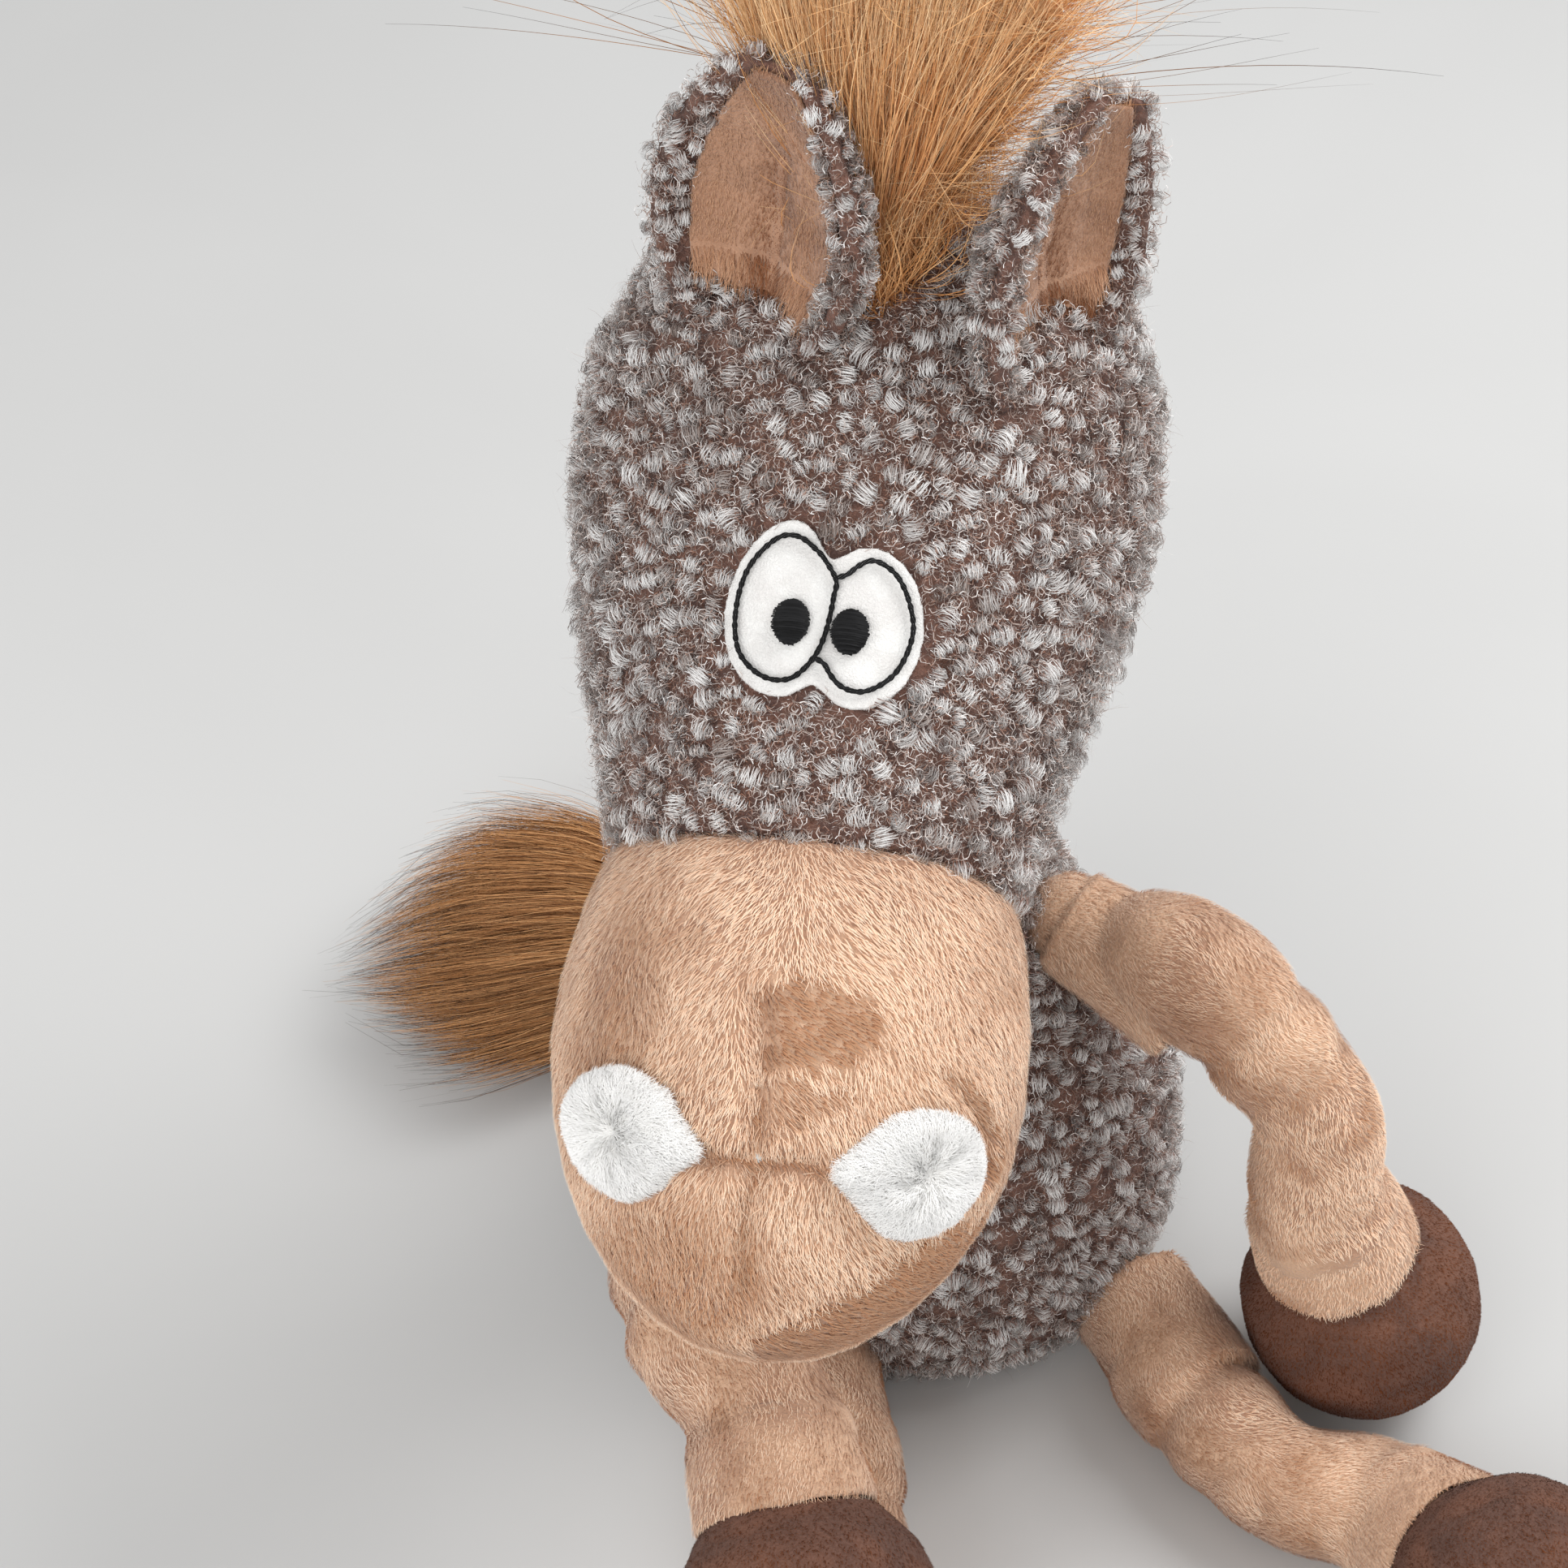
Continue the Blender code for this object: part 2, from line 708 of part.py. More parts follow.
def ear_hinge(side):
    """The line that the ear tips forward on, low at the front of its root."""
    face = ear_frame(side)[1]
    return ear_base(side) + face * EAR_HINGE_FORWARD


def ear_frame(side):
    """Aim of the leaf, aim of its open side and the way across it."""
    aim = Vector(EARS[side]["aim"]).normalized()
    face = Vector(EARS[side]["open"])
    face = (face - aim * face.dot(aim)).normalized()
    return aim, face, aim.cross(face)


def ear_point(side, along_share, across_share, lift):
    """A point on the hollow side of the leaf. The cup is deepest at its middle line."""
    aim, face, across = ear_frame(side)
    width_share = smooth(EAR_OUTLINE_SHARES, along_share)[0]
    wrap = EAR_WRAP * across_share
    reach = EAR_HALF_WIDTH * width_share * math.sin(wrap) / math.sin(EAR_WRAP)
    hollow = EAR_CUP * width_share * (math.cos(wrap) - math.cos(EAR_WRAP)) / (1 - math.cos(EAR_WRAP))
    place = ear_base(side) + aim * (EAR_LENGTH * along_share) + across * reach - face * hollow
    inward = (face * math.cos(wrap) - across * math.sin(wrap)).normalized()
    return place + inward * lift


def ear_leaf(side, name, places, width_share, low, high, material):
    """A curved leaf between two lifts over the hollow side."""
    rings = []
    for place in places:
        front = [ear_point(side, place, width_share * step, high) for step in EAR_ACROSS_SHARES]
        back = [ear_point(side, place, width_share * step, low) for step in reversed(EAR_ACROSS_SHARES)]
        rings.append(front + back)
    first = ear_point(side, places[0], 0, (low + high) / 2)
    last = ear_point(side, places[-1], 0, (low + high) / 2)
    return solid(name, [[first], *rings, [last]], material, side + "_pivot")


def make_ear(side, curls, felt):
    places = [row[0] for row in EAR_OUTLINE_SHARES]
    outer = ear_leaf(side, side + "_outer", places, 1, -EAR_THICKNESS, 0, curls)
    inner_places = [LINING_START_SHARE, *places[2:-1], LINING_END_SHARE]
    top = TRIM_GAP + LINING
    lining = ear_leaf(side, side + "_lining", inner_places, LINING_WIDTH_SHARE, TRIM_GAP, top, felt)
    cutter = head_cutter(side + "_seat_cutter", EAR_GAP)
    cut(outer, cutter)
    cut(lining, cutter, "MANIFOLD")


def make_mane(fur):
    """The tuft's outer shape, from the crown back over the head, cut to sit on it."""
    top = on_head(0, 0, 0)
    along = -HEAD_AIM
    rise = UP
    middle = top + along * (MANE_START + MANE_LENGTH / 2)
    rings = [[middle + rise * (MANE_HEIGHT * MANE_SHARES[0][0])]]
    for height_share, width_share, length_share in MANE_SHARES:
        centre = middle + rise * (MANE_HEIGHT * height_share)
        half_length = MANE_LENGTH / 2 * length_share
        rings.append(oval(centre, HEAD_SIDE, along, MANE_HALF_WIDTH * width_share, half_length, LIMB_SIDES))
    rings.append([middle + rise * MANE_HEIGHT])
    mane = solid("mane", rings, fur, "head_pivot")
    cut(mane, head_cutter("mane_seat_cutter", GAP))


def tail_root():
    return on_torso(TAIL_ANGLE_SHARE, TAIL_HEIGHT_SHARE, TAIL_ROOT_RADIUS / 2)


def make_tail(fur):
    """A brush that lies on the floor behind the horse's right side."""
    root = tail_root()
    aim = -ACROSS
    side = UP.cross(ACROSS)
    rings = [[root - aim * TAIL_ROOT_RADIUS]]
    for angle_share in TAIL_ROOT_RING_SHARES:
        angle = math.pi / 2 * angle_share
        radius = TAIL_ROOT_RADIUS * math.cos(angle)
        rings.append(oval(root + aim * (TAIL_ROOT_RADIUS * math.sin(angle)), side, UP, radius, radius, LIMB_SIDES))
    for along_share, width_share, depth_share, side_share in TAIL_SHARES:
        depth = TAIL_HALF_DEPTH * depth_share
        drop = min(along_share / TAIL_SHARES[1][0], 1)
        height = root.z * (1 - drop) + (depth + GAP) * drop
        place = Vector((root.x, root.y, height))
        place += (aim * along_share + side * side_share) * TAIL_LENGTH
        rings.append(oval(place, side, UP, TAIL_HALF_WIDTH * width_share, depth, LIMB_SIDES))
    tip = root + aim * TAIL_LENGTH
    tip.z = TAIL_HALF_DEPTH * TAIL_SHARES[-1][2]
    rings.append([tip])
    solid("tail", rings, fur, "tail_pivot")


def limb_places(key):
    """Root, middle and end joints of a limb."""
    limb = LIMBS[key]
    root = on_torso(limb["root_angle_share"], limb["root_height_share"], ROOT_BALL_OUT)
    length = ARM_LENGTH if key.startswith("arm") else LEG_LENGTH
    middle = root + Vector(limb["middle_share"]) * length
    end = root + Vector(limb["end_share"]) * length
    return root, middle, end


def limb_run(start, start_aim, end, end_aim):
    """Places and aims along a bent run between two joints, square to the aims at its ends."""
    pull = (end - start).length
    found = []
    for step in range(RUN_STEPS + 1):
        part = step / RUN_STEPS
        place = (
            start * (2 * part**3 - 3 * part**2 + 1)
            + start_aim * (pull * (part**3 - 2 * part**2 + part))
            + end * (3 * part**2 - 2 * part**3)
            + end_aim * (pull * (part**3 - part**2))
        )
        aim = (
            start * (6 * part**2 - 6 * part)
            + start_aim * (pull * (3 * part**2 - 4 * part + 1))
            + end * (6 * part - 6 * part**2)
            + end_aim * (pull * (3 * part**2 - 2 * part))
        )
        found.append((place, aim.normalized()))
    return found


def square(aim, side):
    """Two ways across an aim, the first nearest to the side that is kept along the limb."""
    first = (side - aim * side.dot(aim)).normalized()
    return first, aim.cross(first)


def ball_rings(centre, aim, side, radius, waist):
    """The round start of a piece, from the end point to where the sphere meets the waist."""
    first, second = square(aim, side)
    rings = [[centre - aim * radius]]
    stop = math.acos(waist / radius)
    steps = BALL_STEPS + 2
    for step in range(1, steps + 1):
        angle = -math.pi / 2 + (math.pi / 2 + stop) * step / steps
        size = radius * math.cos(angle)
        rings.append(oval(centre + aim * (radius * math.sin(angle)), first, second, size, size, LIMB_SIDES))
    return rings


def dish_rings(centre, aim, side, radius, depth):
    """The hollow end of a piece, from its rim to its deepest point, round the next piece's ball."""
    first, second = square(aim, side)
    grown = (radius + GAP) * facet_growth(LIMB_SIDES, (math.pi / 2 - BEND_LIMIT) / BALL_STEPS)
    start = math.acos(depth / grown)
    rings = []
    for step in range(BALL_STEPS):
        angle = start * (1 - step / BALL_STEPS)
        size = grown * math.sin(angle)
        rings.append(oval(centre - aim * (grown * math.cos(angle)), first, second, size, size, LIMB_SIDES))
    rings.append([centre - aim * grown])
    return rings


def make_limb(key, plush, suede):
    """Two soft tubes and a hoof, each rounded where it turns in the one before it."""
    limb = LIMBS[key]
    radius = ARM_RADIUS if key.startswith("arm") else LEG_RADIUS
    root, middle, end = limb_places(key)
    aims = (limb["root_aim"], limb["middle_aim"], limb["end_aim"])
    root_aim, middle_aim, end_aim = (Vector(aim).normalized() for aim in aims)
    side = ARM_SIDE if key.startswith("arm") else LEG_SIDE

    waist = ROOT_BALL_RADIUS * NECKING_SHARE
    rings = ball_rings(root, root_aim, side, ROOT_BALL_RADIUS, waist)
    reach = radius * math.sin(BEND_LIMIT)
    run = limb_run(root + root_aim * ROOT_BALL_RADIUS, root_aim, middle - middle_aim * reach, middle_aim)
    for step, (place, aim) in enumerate(run):
        part = min(step / RUN_STEPS / FULL_SHARE, 1)
        size = waist + (radius - waist) * math.sin(math.pi / 2 * part)
        first, second = square(aim, side)
        rings.append(oval(place, first, second, size, size, LIMB_SIDES))
    rings += dish_rings(middle, middle_aim, side, radius, reach)
    solid(limb["upper"], rings, plush, limb["upper"] + "_pivot")

    waist = radius * WAIST_SHARE
    rings = ball_rings(middle, middle_aim, side, radius, waist)
    cuff_start = end - end_aim * (CUFF_LIFT + CUFF_LENGTH)
    run = limb_run(middle + middle_aim * radius, middle_aim, cuff_start, end_aim)
    for step, (place, aim) in enumerate(run):
        size = waist + (radius - waist) * math.sin(math.pi / 2 * step / RUN_STEPS)
        first, second = square(aim, side)
        rings.append(oval(place, first, second, size, size, LIMB_SIDES))
    first, second = square(end_aim, side)
    for along_share in CUFF_BAND_SHARES:
        place = cuff_start + end_aim * (CUFF_LENGTH * along_share)
        rings.append(oval(place, first, second, CUFF_RADIUS, CUFF_RADIUS, LIMB_SIDES))
    cuff_end = cuff_start + end_aim * CUFF_LENGTH
    pin = WRIST_PIN_RADIUS
    for size in (radius, pin):
        rings.append(oval(cuff_end, first, second, size, size, LIMB_SIDES))
    start = -math.acos(pin / WRIST_BALL_RADIUS)
    for step in range(BALL_STEPS):
        angle = start + (math.pi / 2 - start) * step / BALL_STEPS
        size = WRIST_BALL_RADIUS * math.cos(angle)
        place = end + end_aim * (WRIST_BALL_RADIUS * math.sin(angle))
        rings.append(oval(place, first, second, size, size, LIMB_SIDES))
    rings.append([end + end_aim * WRIST_BALL_RADIUS])
    solid(limb["lower"], rings, plush, limb["lower"] + "_pivot")

    centre = end + end_aim * HOOF_REACH
    grown = (WRIST_BALL_RADIUS + GAP) * facet_growth(BODY_SIDES, math.pi / 2 / BALL_STEPS)
    rim = (HOOF_REACH**2 + grown**2 - HOOF_RADIUS**2) / (2 * HOOF_REACH)
    rings = [[end + end_aim * grown]]
    stop = math.acos(rim / grown)
    for step in range(1, BALL_STEPS + 1):
        angle = stop * step / BALL_STEPS
        size = grown * math.sin(angle)
        place = end + end_aim * (grown * math.cos(angle))
        rings.append(oval(place, first, second, size, size, BODY_SIDES))
    start = math.acos((HOOF_REACH - rim) / HOOF_RADIUS)
    for step in range(1, HOOF_STEPS):
        angle = start + (math.pi - start) * step / HOOF_STEPS
        size = HOOF_RADIUS * math.sin(angle)
        place = centre - end_aim * (HOOF_RADIUS * math.cos(angle))
        rings.append(oval(place, first, second, size, size, BODY_SIDES))
    rings.append([centre + end_aim * HOOF_RADIUS])
    solid(limb["hoof"], rings, suede, limb["hoof"] + "_pivot")


def make_pivots():
    """One empty on the axis of each joint, in the order of the pieces that carry each other."""
    foot, ball = neck_places()
    pivot("neck_pivot", foot)
    pivot("head_pivot", ball, "neck_pivot")
    for side in EARS:
        pivot(side + "_pivot", ear_hinge(side), "head_pivot")
    pivot("tail_pivot", tail_root())
    for key, limb in LIMBS.items():
        root, middle, end = limb_places(key)
        pivot(limb["upper"] + "_pivot", root)
        pivot(limb["lower"] + "_pivot", middle, limb["upper"] + "_pivot")
        pivot(limb["hoof"] + "_pivot", end, limb["lower"] + "_pivot")


def make_sockets():
    """The hollows that the limbs' and the tail's round ends turn in, and the one for the neck's ball."""
    balls = []
    for key in LIMBS:
        balls.append(sphere(key + "_socket", limb_places(key)[0], ROOT_BALL_RADIUS + GAP))
    balls.append(sphere("tail_socket", tail_root(), TAIL_ROOT_RADIUS + GAP))
    body_cutter = join("body_socket_cutter", balls)
    neck_cutter = sphere("neck_socket_cutter", neck_places()[1], NECK_BALL_RADIUS + GAP, BODY_SIDES)
    hide_cutter(neck_cutter)
    return body_cutter, neck_cutter


def main():
    clear_scene()
    tan_plush = cloth("tan_plush", (0.46, 0.30, 0.20))
    curly_plush = cloth("curly_plush", (0.42, 0.39, 0.36), 0.95)
    white_felt = cloth("white_felt", (0.82, 0.80, 0.77))
    pale_lining = cloth("pale_lining", (0.62, 0.52, 0.44))
    brown_suede = cloth("brown_suede", (0.17, 0.08, 0.05), 0.8)
    golden_fur = cloth("golden_fur", (0.50, 0.26, 0.10), 0.7)
    black_thread = cloth("black_thread", (0.01, 0.01, 0.01), 0.6)
    fibre = cloth("stuffing_fibre", (0.85, 0.84, 0.80), 1.0)
    pellets = cloth("pellet_bag_cloth", (0.70, 0.70, 0.68), 0.8)

    make_pivots()
    body_cutter, neck_cutter = make_sockets()
    for piece in make_torso(curly_plush, fibre, pellets):
        cut(piece, body_cutter)
    make_neck(curly_plush)
    for piece in make_head(curly_plush, fibre):
        cut(piece, neck_cutter)
    make_muzzle(tan_plush, fibre)
    make_eye_patch(white_felt)
    make_thread("eye_stitching_left", LEFT_EYE_THREAD_SHARES, black_thread)
    make_thread("eye_stitching_right", RIGHT_EYE_THREAD_SHARES, black_thread)
    for name in PUPIL_SHARES:
        make_pupil(name, black_thread)
    for name in NOSTRIL_SHARES:
        make_nostril(name, white_felt)
    for side in EARS:
        make_ear(side, curly_plush, pale_lining)
    make_mane(golden_fur)
    make_tail(golden_fur)
    for key in LIMBS:
        make_limb(key, tan_plush, brown_suede)


main()
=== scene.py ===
# %% [markdown]
# This lesson dresses a sitting plush horse. The solids of its frame are already the right size, and each
# soft piece gets a skin that follows its solid, cloth that looks like cloth, and fibres made as thin
# ribbons. Everything is in metres, +Z up, and the horse faces -Y.

import json
import math

import bmesh
import bpy
import numpy as np
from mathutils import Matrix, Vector, noise
from mathutils.bvhtree import BVHTree
from mathutils.kdtree import KDTree


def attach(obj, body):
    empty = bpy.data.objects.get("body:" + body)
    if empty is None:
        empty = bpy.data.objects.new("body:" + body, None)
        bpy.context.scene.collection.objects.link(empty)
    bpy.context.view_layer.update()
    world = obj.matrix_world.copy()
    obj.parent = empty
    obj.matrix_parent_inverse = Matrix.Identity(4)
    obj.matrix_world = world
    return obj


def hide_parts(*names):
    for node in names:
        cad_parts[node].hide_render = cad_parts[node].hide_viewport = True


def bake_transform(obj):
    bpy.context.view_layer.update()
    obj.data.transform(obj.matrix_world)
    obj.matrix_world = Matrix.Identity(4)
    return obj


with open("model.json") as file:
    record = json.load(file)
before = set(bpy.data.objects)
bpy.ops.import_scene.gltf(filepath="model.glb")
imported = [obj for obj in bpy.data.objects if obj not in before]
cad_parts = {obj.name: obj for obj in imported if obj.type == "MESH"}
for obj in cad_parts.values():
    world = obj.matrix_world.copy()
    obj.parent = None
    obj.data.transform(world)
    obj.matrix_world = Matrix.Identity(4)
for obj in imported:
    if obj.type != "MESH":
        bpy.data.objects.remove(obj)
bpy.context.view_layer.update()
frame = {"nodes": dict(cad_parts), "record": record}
nodes = frame["nodes"]
MM = 0.001
FLOOR_GAP = 0.3 * MM
rng = np.random.default_rng(11)

# %% [markdown]
# The photograph looks down at the horse from the front, so the camera stands high and points at the
# middle of the toy. A helper turns a pixel of the square picture into a ray, which later finds the place
# of a seam on the cloth.

# %% Camera
IMAGE_SIDE = 1932
LENS = 75
SENSOR = 36
CAMERA_PLACE = Vector((-0.033, -0.5043, 0.6543))
LOOK_AT = Vector((-0.033, -0.080, 0.230))

camera_turn = (LOOK_AT - CAMERA_PLACE).to_track_quat("-Z", "Y")
camera_data = bpy.data.cameras.new("camera")
camera_data.lens = LENS
camera_data.sensor_width = SENSOR
camera = bpy.data.objects.new("camera", camera_data)
camera.location = CAMERA_PLACE
camera.rotation_mode = "QUATERNION"
camera.rotation_quaternion = camera_turn
bpy.context.collection.objects.link(camera)
bpy.context.scene.camera = camera
bpy.context.scene.view_settings.view_transform = "Standard"


def pixel_way(u, v):
    """The way from the camera to a pixel of the picture."""
    across = (u / IMAGE_SIDE - 0.5) * SENSOR / LENS
    up = (0.5 - v / IMAGE_SIDE) * SENSOR / LENS
    return (camera_turn @ Vector((across, up, -1))).normalized()


print("Camera is", round((LOOK_AT - CAMERA_PLACE).length, 3), "m from the horse")

# %% [markdown]
# A shader is a small graph. These two helpers keep the graphs short: one places a node and links or sets
# its inputs, and the other starts a node group with named inputs and outputs.


# %% Helpers for shader graphs
def place(tree, kind, settings=None, **inputs):
    """A node whose inputs are values or the sockets that feed them. Underscores stand for spaces."""
    made = tree.nodes.new(kind)
    for key, value in (settings or {}).items():
        setattr(made, key, value)
    for key, value in inputs.items():
        feed(tree, made.inputs[key.replace("_", " ")], value)
    return made


def feed(tree, socket, value):
    """Links a socket to an input, or sets the input's own value."""
    if isinstance(value, bpy.types.NodeSocket):
        tree.links.new(value, socket)
    else:
        socket.default_value = value


def mix(tree, factor, first, second, blend="MIX"):
    """Mixes two colours and returns the socket that puts the mix out."""
    made = tree.nodes.new("ShaderNodeMix")
    made.data_type = "RGBA"
    made.blend_type = blend
    for index, value in ((0, factor), (6, first), (7, second)):
        feed(tree, made.inputs[index], value)
    return made.outputs[2]


def stretch(tree, value, low, high, to_low=0.0, to_high=1.0):
    """Maps a value from one range to another, held at the ends."""
    made = place(tree, "ShaderNodeMapRange", {"interpolation_type": "SMOOTHSTEP"}, Value=value)
    for label, number in (("From Min", low), ("From Max", high), ("To Min", to_low), ("To Max", to_high)):
        feed(tree, made.inputs[label], number)
    return made.outputs[0]


def start_group(name, inputs, outputs):
    """A new node group with its two ends."""
    tree = bpy.data.node_groups.new(name, "ShaderNodeTree")
    for label, kind, value in inputs:
        socket = tree.interface.new_socket(label, in_out="INPUT", socket_type=kind)
        socket.default_value = value
    for label, kind in outputs:
        tree.interface.new_socket(label, in_out="OUTPUT", socket_type=kind)
    return tree, tree.nodes.new("NodeGroupInput").outputs, tree.nodes.new("NodeGroupOutput").inputs


COLOUR = "NodeSocketColor"
NUMBER = "NodeSocketFloat"

# %% [markdown]
# Brushed cloth is never one colour: the nap lies in drifts that look lighter or darker, with fine flecks
# where single fibres cross. The first group makes those drifts. The second colours fibres from root to
# tip, from two values that every fibre carries: how far along it a point is, and the fibre's tone, which
# is random on most fibres and holds painted shade and painted highlight on some.

# %% Node group for brushed cloth
nap, nap_in, nap_out = start_group(
    "brushed nap",
    [
        ("Light", COLOUR, (0.6, 0.4, 0.3, 1)),
        ("Dark", COLOUR, (0.3, 0.2, 0.1, 1)),
        ("Drift Scale", NUMBER, 40.0),
        ("Fleck Scale", NUMBER, 900.0),
        ("Fleck Amount", NUMBER, 0.3),
    ],
    [("Colour", COLOUR), ("Height", NUMBER), ("Drift", NUMBER)],
)
cloth_place = place(nap, "ShaderNodeTexCoord").outputs["Object"]
drift_scale = nap_in["Drift Scale"]
drift = place(nap, "ShaderNodeTexNoise", Vector=cloth_place, Scale=drift_scale, Detail=4.0, Distortion=0.6)
fleck = place(nap, "ShaderNodeTexNoise", Vector=cloth_place, Scale=nap_in["Fleck Scale"], Detail=3.0)
drift_mask = stretch(nap, drift.outputs[0], 0.34, 0.64)
fleck_mask = stretch(nap, fleck.outputs[0], 0.35, 0.65)
fleck_amount = nap_in["Fleck Amount"]
plain = mix(nap, drift_mask, nap_in["Dark"], nap_in["Light"])
greyed = mix(nap, fleck_amount, plain, (0.5, 0.5, 0.5, 1))
shaded = mix(nap, fleck_mask, mix(nap, fleck_amount, greyed, (0, 0, 0, 1)), greyed)
feed(nap, nap_out["Colour"], mix(nap, fleck_amount, plain, shaded))
feed(nap, nap_out["Height"], fleck_mask)
feed(nap, nap_out["Drift"], drift_mask)

# %% Node group for fibres
fibre, fibre_in, fibre_out = start_group(
    "fibre tone",
    [
        ("Root", COLOUR, (0.2, 0.1, 0.1, 1)),
        ("Middle", COLOUR, (0.5, 0.5, 0.5, 1)),
        ("Tip", COLOUR, (0.8, 0.8, 0.8, 1)),
        ("Root End", NUMBER, 0.3),
        ("Tip Start", NUMBER, 0.7),
        ("Low Tone", COLOUR, (0.6, 0.5, 0.4, 1)),
    ],
    [("Colour", COLOUR)],
)
along = place(fibre, "ShaderNodeAttribute", {"attribute_name": "along"}).outputs["Fac"]
tone = place(fibre, "ShaderNodeAttribute", {"attribute_name": "tone"}).outputs["Fac"]
rooted = mix(fibre, stretch(fibre, along, 0.0, fibre_in["Root End"]), fibre_in["Root"], fibre_in["Middle"])
tipped = mix(fibre, stretch(fibre, along, fibre_in["Tip Start"], 1.0), rooted, fibre_in["Tip"])
shade = mix(fibre, stretch(fibre, tone, 0.0, 1.0), fibre_in["Low Tone"], (1, 1, 1, 1))
feed(fibre, fibre_out["Colour"], mix(fibre, 1.0, tipped, shade, "MULTIPLY"))
print("Groups:", [group.name for group in (nap, fibre)])


# %% Helper that starts a material
def start_finish(name, roughness, sheen=0.0):
    """A material with its shader. Values that are the same all over are set on the shader itself."""
    made = bpy.data.materials.new(name)
    made.use_nodes = True
    shader = made.node_tree.nodes["Principled BSDF"]
    shader.inputs["Roughness"].default_value = roughness
    shader.inputs["Sheen Weight"].default_value = sheen
    shader.inputs["Sheen Roughness"].default_value = 0.5
    shader.inputs["Specular IOR Level"].default_value = 0.08
    return made, made.node_tree, shader


def group_node(tree, group, values):
    """A group placed in a material, with its inputs set."""
    made = tree.nodes.new("ShaderNodeGroup")
    made.node_tree = group
    for label, value in values.items():
        feed(tree, made.inputs[label], value)
    return made.outputs


def bump(tree, shader, height, strength, distance):
    """Drives the shader's normal by a height."""
    made = place(tree, "ShaderNodeBump", Strength=strength, Distance=distance, Height=height)
    tree.links.new(made.outputs[0], shader.inputs["Normal"])


# %% [markdown]
# Cloth finishes. Skins take the brushed nap with a bump of its flecks, and each kind of cloth has its own
# light and dark. The colours are written as they look in even light.


# %% Finishes for cloth skins
def cloth_finish(name, light, dark, drift_scale, fleck_scale, fleck_amount, roughness, sheen, relief):
    made, tree, shader = start_finish(name, roughness, sheen)
    values = {
        "Light": (*light, 1),
        "Dark": (*dark, 1),
        "Drift Scale": drift_scale,
        "Fleck Scale": fleck_scale,
        "Fleck Amount": fleck_amount,
    }
    outputs = group_node(tree, nap, values)
    tree.links.new(outputs["Colour"], shader.inputs["Base Color"])
    bump(tree, shader, outputs["Height"], relief, 0.4 * MM)
    return made


# Name, light, dark, then scale of drifts, scale of flecks, amount of flecks, roughness, sheen and relief
CLOTHS = (
    ("tan plush skin", (0.70, 0.44, 0.28), (0.48, 0.26, 0.155), 45, 1500, 0.30, 0.9, 0.25, 0.6),
    ("curly plush ground", (0.21, 0.092, 0.060), (0.10, 0.040, 0.027), 220, 1400, 0.3, 0.95, 0.1, 0.8),
    ("hoof suede", (0.155, 0.050, 0.019), (0.09, 0.028, 0.011), 60, 1900, 0.30, 0.85, 0.05, 0.5),
    ("white felt", (0.86, 0.85, 0.83), (0.78, 0.76, 0.74), 160, 2200, 0.07, 0.95, 0.1, 0.5),
    ("white nostril plush", (0.93, 0.925, 0.91), (0.88, 0.87, 0.85), 160, 1800, 0.08, 0.95, 0.1, 0.5),
    ("ear lining plush", (0.50, 0.27, 0.16), (0.32, 0.155, 0.085), 60, 1700, 0.25, 0.85, 0.3, 0.5),
    ("stuffing fibre", (0.86, 0.85, 0.81), (0.70, 0.69, 0.65), 130, 700, 0.2, 1.0, 0.0, 0.9),
    ("pellet bag cloth", (0.74, 0.74, 0.72), (0.58, 0.58, 0.56), 260, 1600, 0.2, 0.8, 0.0, 0.7),
    ("black thread ground", (0.012, 0.012, 0.013), (0.006, 0.006, 0.006), 400, 2600, 0.1, 0.8, 0.1, 0.4),
)
(
    tan_skin,
    curl_ground,
    hoof_suede,
    white_felt,
    white_plush,
    lining_plush,
    stuffing,
    pellet_cloth,
    black_base,
) = (cloth_finish(*row) for row in CLOTHS)


# %% Finishes for fibres
def fibre_finish(name, root, middle, tip, root_end, tip_start, low_tone, roughness, sheen):
    made, tree, shader = start_finish(name, roughness, sheen)
    values = {
        "Root": (*root, 1),
        "Middle": (*middle, 1),
        "Tip": (*tip, 1),
        "Root End": root_end,
        "Tip Start": tip_start,
        "Low Tone": (*low_tone, 1),
    }
    outputs = group_node(tree, fibre, values)
    tree.links.new(outputs["Colour"], shader.inputs["Base Color"])
    return made


# Root, middle and tip, where the root ends and the tip starts, the low tone, roughness and sheen
curl_hair = fibre_finish(
    "curly plush fibre", (0.20, 0.090, 0.060), (0.76, 0.75, 0.74), (0.94, 0.94, 0.94),
    0.30, 0.55, (0.32, 0.25, 0.22), 0.8, 0.2
)
curl_fuzz = fibre_finish(
    "curly plush fuzz", (0.30, 0.15, 0.10), (0.56, 0.48, 0.44), (0.92, 0.91, 0.90),
    0.40, 0.60, (0.34, 0.25, 0.21), 0.8, 0.1
)
tan_hair = fibre_finish(
    "tan plush pile", (0.62, 0.36, 0.22), (0.90, 0.62, 0.43), (0.97, 0.82, 0.65),
    0.50, 0.50, (0.55, 0.40, 0.31), 0.75, 0.2
)
suede_hair = fibre_finish(
    "suede nap", (0.09, 0.028, 0.010), (0.145, 0.045, 0.017), (0.21, 0.074, 0.030),
    0.5, 0.5, (0.60, 0.55, 0.52), 0.8, 0.0
)
white_hair = fibre_finish(
    "white plush pile", (0.86, 0.84, 0.81), (0.92, 0.915, 0.90), (0.95, 0.945, 0.94),
    0.5, 0.5, (0.96, 0.955, 0.94), 0.8, 0.3
)
lining_hair = fibre_finish(
    "ear lining pile", (0.32, 0.155, 0.085), (0.50, 0.265, 0.15), (0.72, 0.45, 0.29),
    0.5, 0.5, (0.48, 0.34, 0.26), 0.75, 0.2
)
